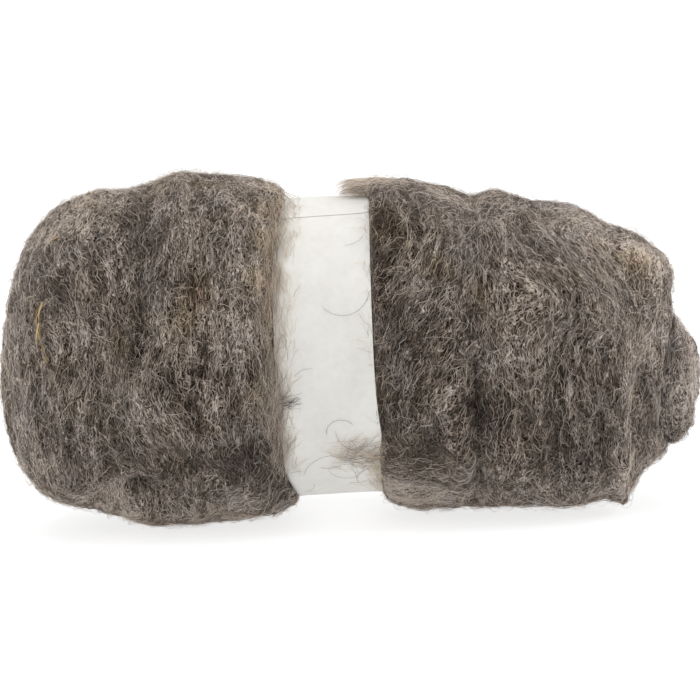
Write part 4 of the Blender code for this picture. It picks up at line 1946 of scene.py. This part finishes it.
    def build_straws(self) -> None:
        """Bits of straw caught in the wool, each a bundle of splinters."""
        draw, parts, roll = Seed.STRAWS.draw(), [], self.roll
        left, right, _ = self.spans()
        for straw in STRAWS:
            start, stop = left if straw.along < WAIST_LEFT else right
            row = np.interp(straw.along, roll.rows[start:stop, 0], np.arange(stop - start))
            column = (straw.angle % 360) * roll.columns / 360
            kind = replace(
                self.COAT,
                count=self.STRAW_SPLINTERS,
                lock=self.STRAW_SPLINTERS,
                lock_spread=0.34,
                width=(straw.width * 0.4, straw.width * 0.75),
                lift=(0.3, 1.1),
                segments=16,
                stray=12,
            )
            habits = {"stray": straw.way, "curl": 0.6, "length": straw.length, "crimp": 9.0}
            own = {name: np.array([value]) for name, value in habits.items()}
            places = (np.array([row]), np.array([column]))
            ground = roll.ground(start, stop)
            ground.fill(turn=0)
            parts.append(grow(ground, kind, draw, places, own))
        straws = Strands.joined(parts)
        straws.tones = 0.70 + 0.24 * np.sin(2.3 * np.arange(len(straws.tones)))
        straws.tints = np.repeat([straw.tint for straw in STRAWS], self.STRAW_SPLINTERS)
        self.dress(straws, "straw_bits")

    def build(self) -> None:
        """Builds every kind of loose fibre."""
        self.build_coat()
        self.build_halo()
        self.build_fluff()
        self.build_hairs()
        self.build_straws()


# ---------------------------------------------------------------- the studio


@dataclass
class Studio:
    """Floor, backdrop, soft lights and the camera at the photograph's angle."""

    aim: tuple[float, float, float] = (0.0004, 0.0, 0.0675)
    distance: float = 1.6
    elevation: float = 8.0
    yaw: float = 2.4
    roll: float = 2.77
    lens: float = 204.8
    floor_half: float = 9.0
    floor_steps: tuple[int, int] = (24, 40)
    cove_radius: float = 3.0
    cove_steps: int = 16
    sky_strength: float = 0.8

    def build_floor(self) -> None:
        """One sheet: a flat floor that turns up behind along a quarter circle."""
        x, flat = (np.linspace(-self.floor_half, self.floor_half, n) for n in self.floor_steps)
        turns = np.linspace(0, math.pi / 2, self.cove_steps)[1:]
        y = np.concatenate([flat, self.floor_half + self.cove_radius * np.sin(turns)])
        z = np.concatenate([0 * flat, self.cove_radius * (1 - np.cos(turns))])
        grid = np.stack(np.broadcast_arrays(x[None, :], y[:, None], z[:, None]), axis=-1)
        rows, columns = grid.shape[:2]
        row, column = np.meshgrid(np.arange(rows - 1), np.arange(columns - 1), indexing="ij")
        low = (row * columns + column).ravel()
        faces = np.stack([low, low + 1, low + columns + 1, low + columns], axis=-1)
        floor = make_piece("studio_floor", grid.reshape(-1, 3), [faces], FloorFinish().make())

    def add_light(
        self, name: str, place: tuple[float, float, float], size: float, power: float
    ) -> None:
        """Adds a square area light that faces the roll.

        Args:
            name: Its name.
            place: Its place in metres.
            size: Its side in metres.
            power: Its power in watts.
        """
        data = bpy.data.lights.new(name, "AREA")
        data.size = size
        data.energy = power
        light = bpy.data.objects.new(name, data)
        light.location = place
        way = Vector(self.aim) - Vector(place)
        light.rotation_mode = "QUATERNION"
        light.rotation_quaternion = way.to_track_quat("-Z", "Y")
        bpy.context.scene.collection.objects.link(light)

    def build_lights(self) -> None:
        """A broad light overhead to the front, one at each end, and a pale sky."""
        self.add_light("overhead_light", (-0.1, -0.3, 2.5), 2.2, 28)
        self.add_light("left_light", (-1.6, -0.1, 0.7), 1.2, 9)
        self.add_light("right_light", (1.6, -0.1, 0.8), 1.2, 14)
        world = bpy.data.worlds.new("pale_sky")
        world.use_nodes = True
        sky = world.node_tree.nodes["Background"]
        sky.inputs["Color"].default_value = (1.0, 1.0, 1.0, 1)
        sky.inputs["Strength"].default_value = self.sky_strength
        bpy.context.scene.world = world

    def build_camera(self) -> None:
        """A long lens, a little above the roll and to its right, turned by the roll angle."""
        side, up = math.radians(self.yaw), math.radians(self.elevation)
        level = math.cos(up)
        back = Vector((math.sin(side) * level, -math.cos(side) * level, math.sin(up)))
        data = bpy.data.cameras.new("photo_camera")
        data.sensor_width = 36.0
        data.lens = self.lens
        data.clip_start, data.clip_end = 0.05, 60.0
        camera = bpy.data.objects.new("photo_camera", data)
        camera.rotation_mode = "QUATERNION"
        camera.location = Vector(self.aim) + back * self.distance
        turned = Matrix.Rotation(math.radians(-self.roll), 3, "Z")
        facing = (-back).to_track_quat("-Z", "Y").to_matrix() @ turned
        camera.rotation_quaternion = facing.to_quaternion()
        bpy.context.scene.collection.objects.link(camera)
        bpy.context.scene.camera = camera

    def build(self) -> None:
        """Builds all of it, and shows colours as they are."""
        self.build_camera()
        self.build_floor()
        self.build_lights()
        bpy.context.scene.view_settings.view_transform = "Standard"


def corners(box: tuple[Vector, Vector]) -> list[list[float]]:
    """The two corners of a box as plain lists."""
    return [[float(value) for value in corner] for corner in box]


def main() -> None:
    """Builds the studio, the wool, the band and the loose fibres."""
    logging.basicConfig(level=logging.INFO, format="%(name)s: %(message)s")
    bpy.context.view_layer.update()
    Studio().build()
    roll = WoolRoll()
    roll.build_body(FeltFinish().make())
    band = PaperBand()
    band.build(PaperFinish().make())
    Fleece(roll, band).build()


if __name__ == "__main__":
    main()
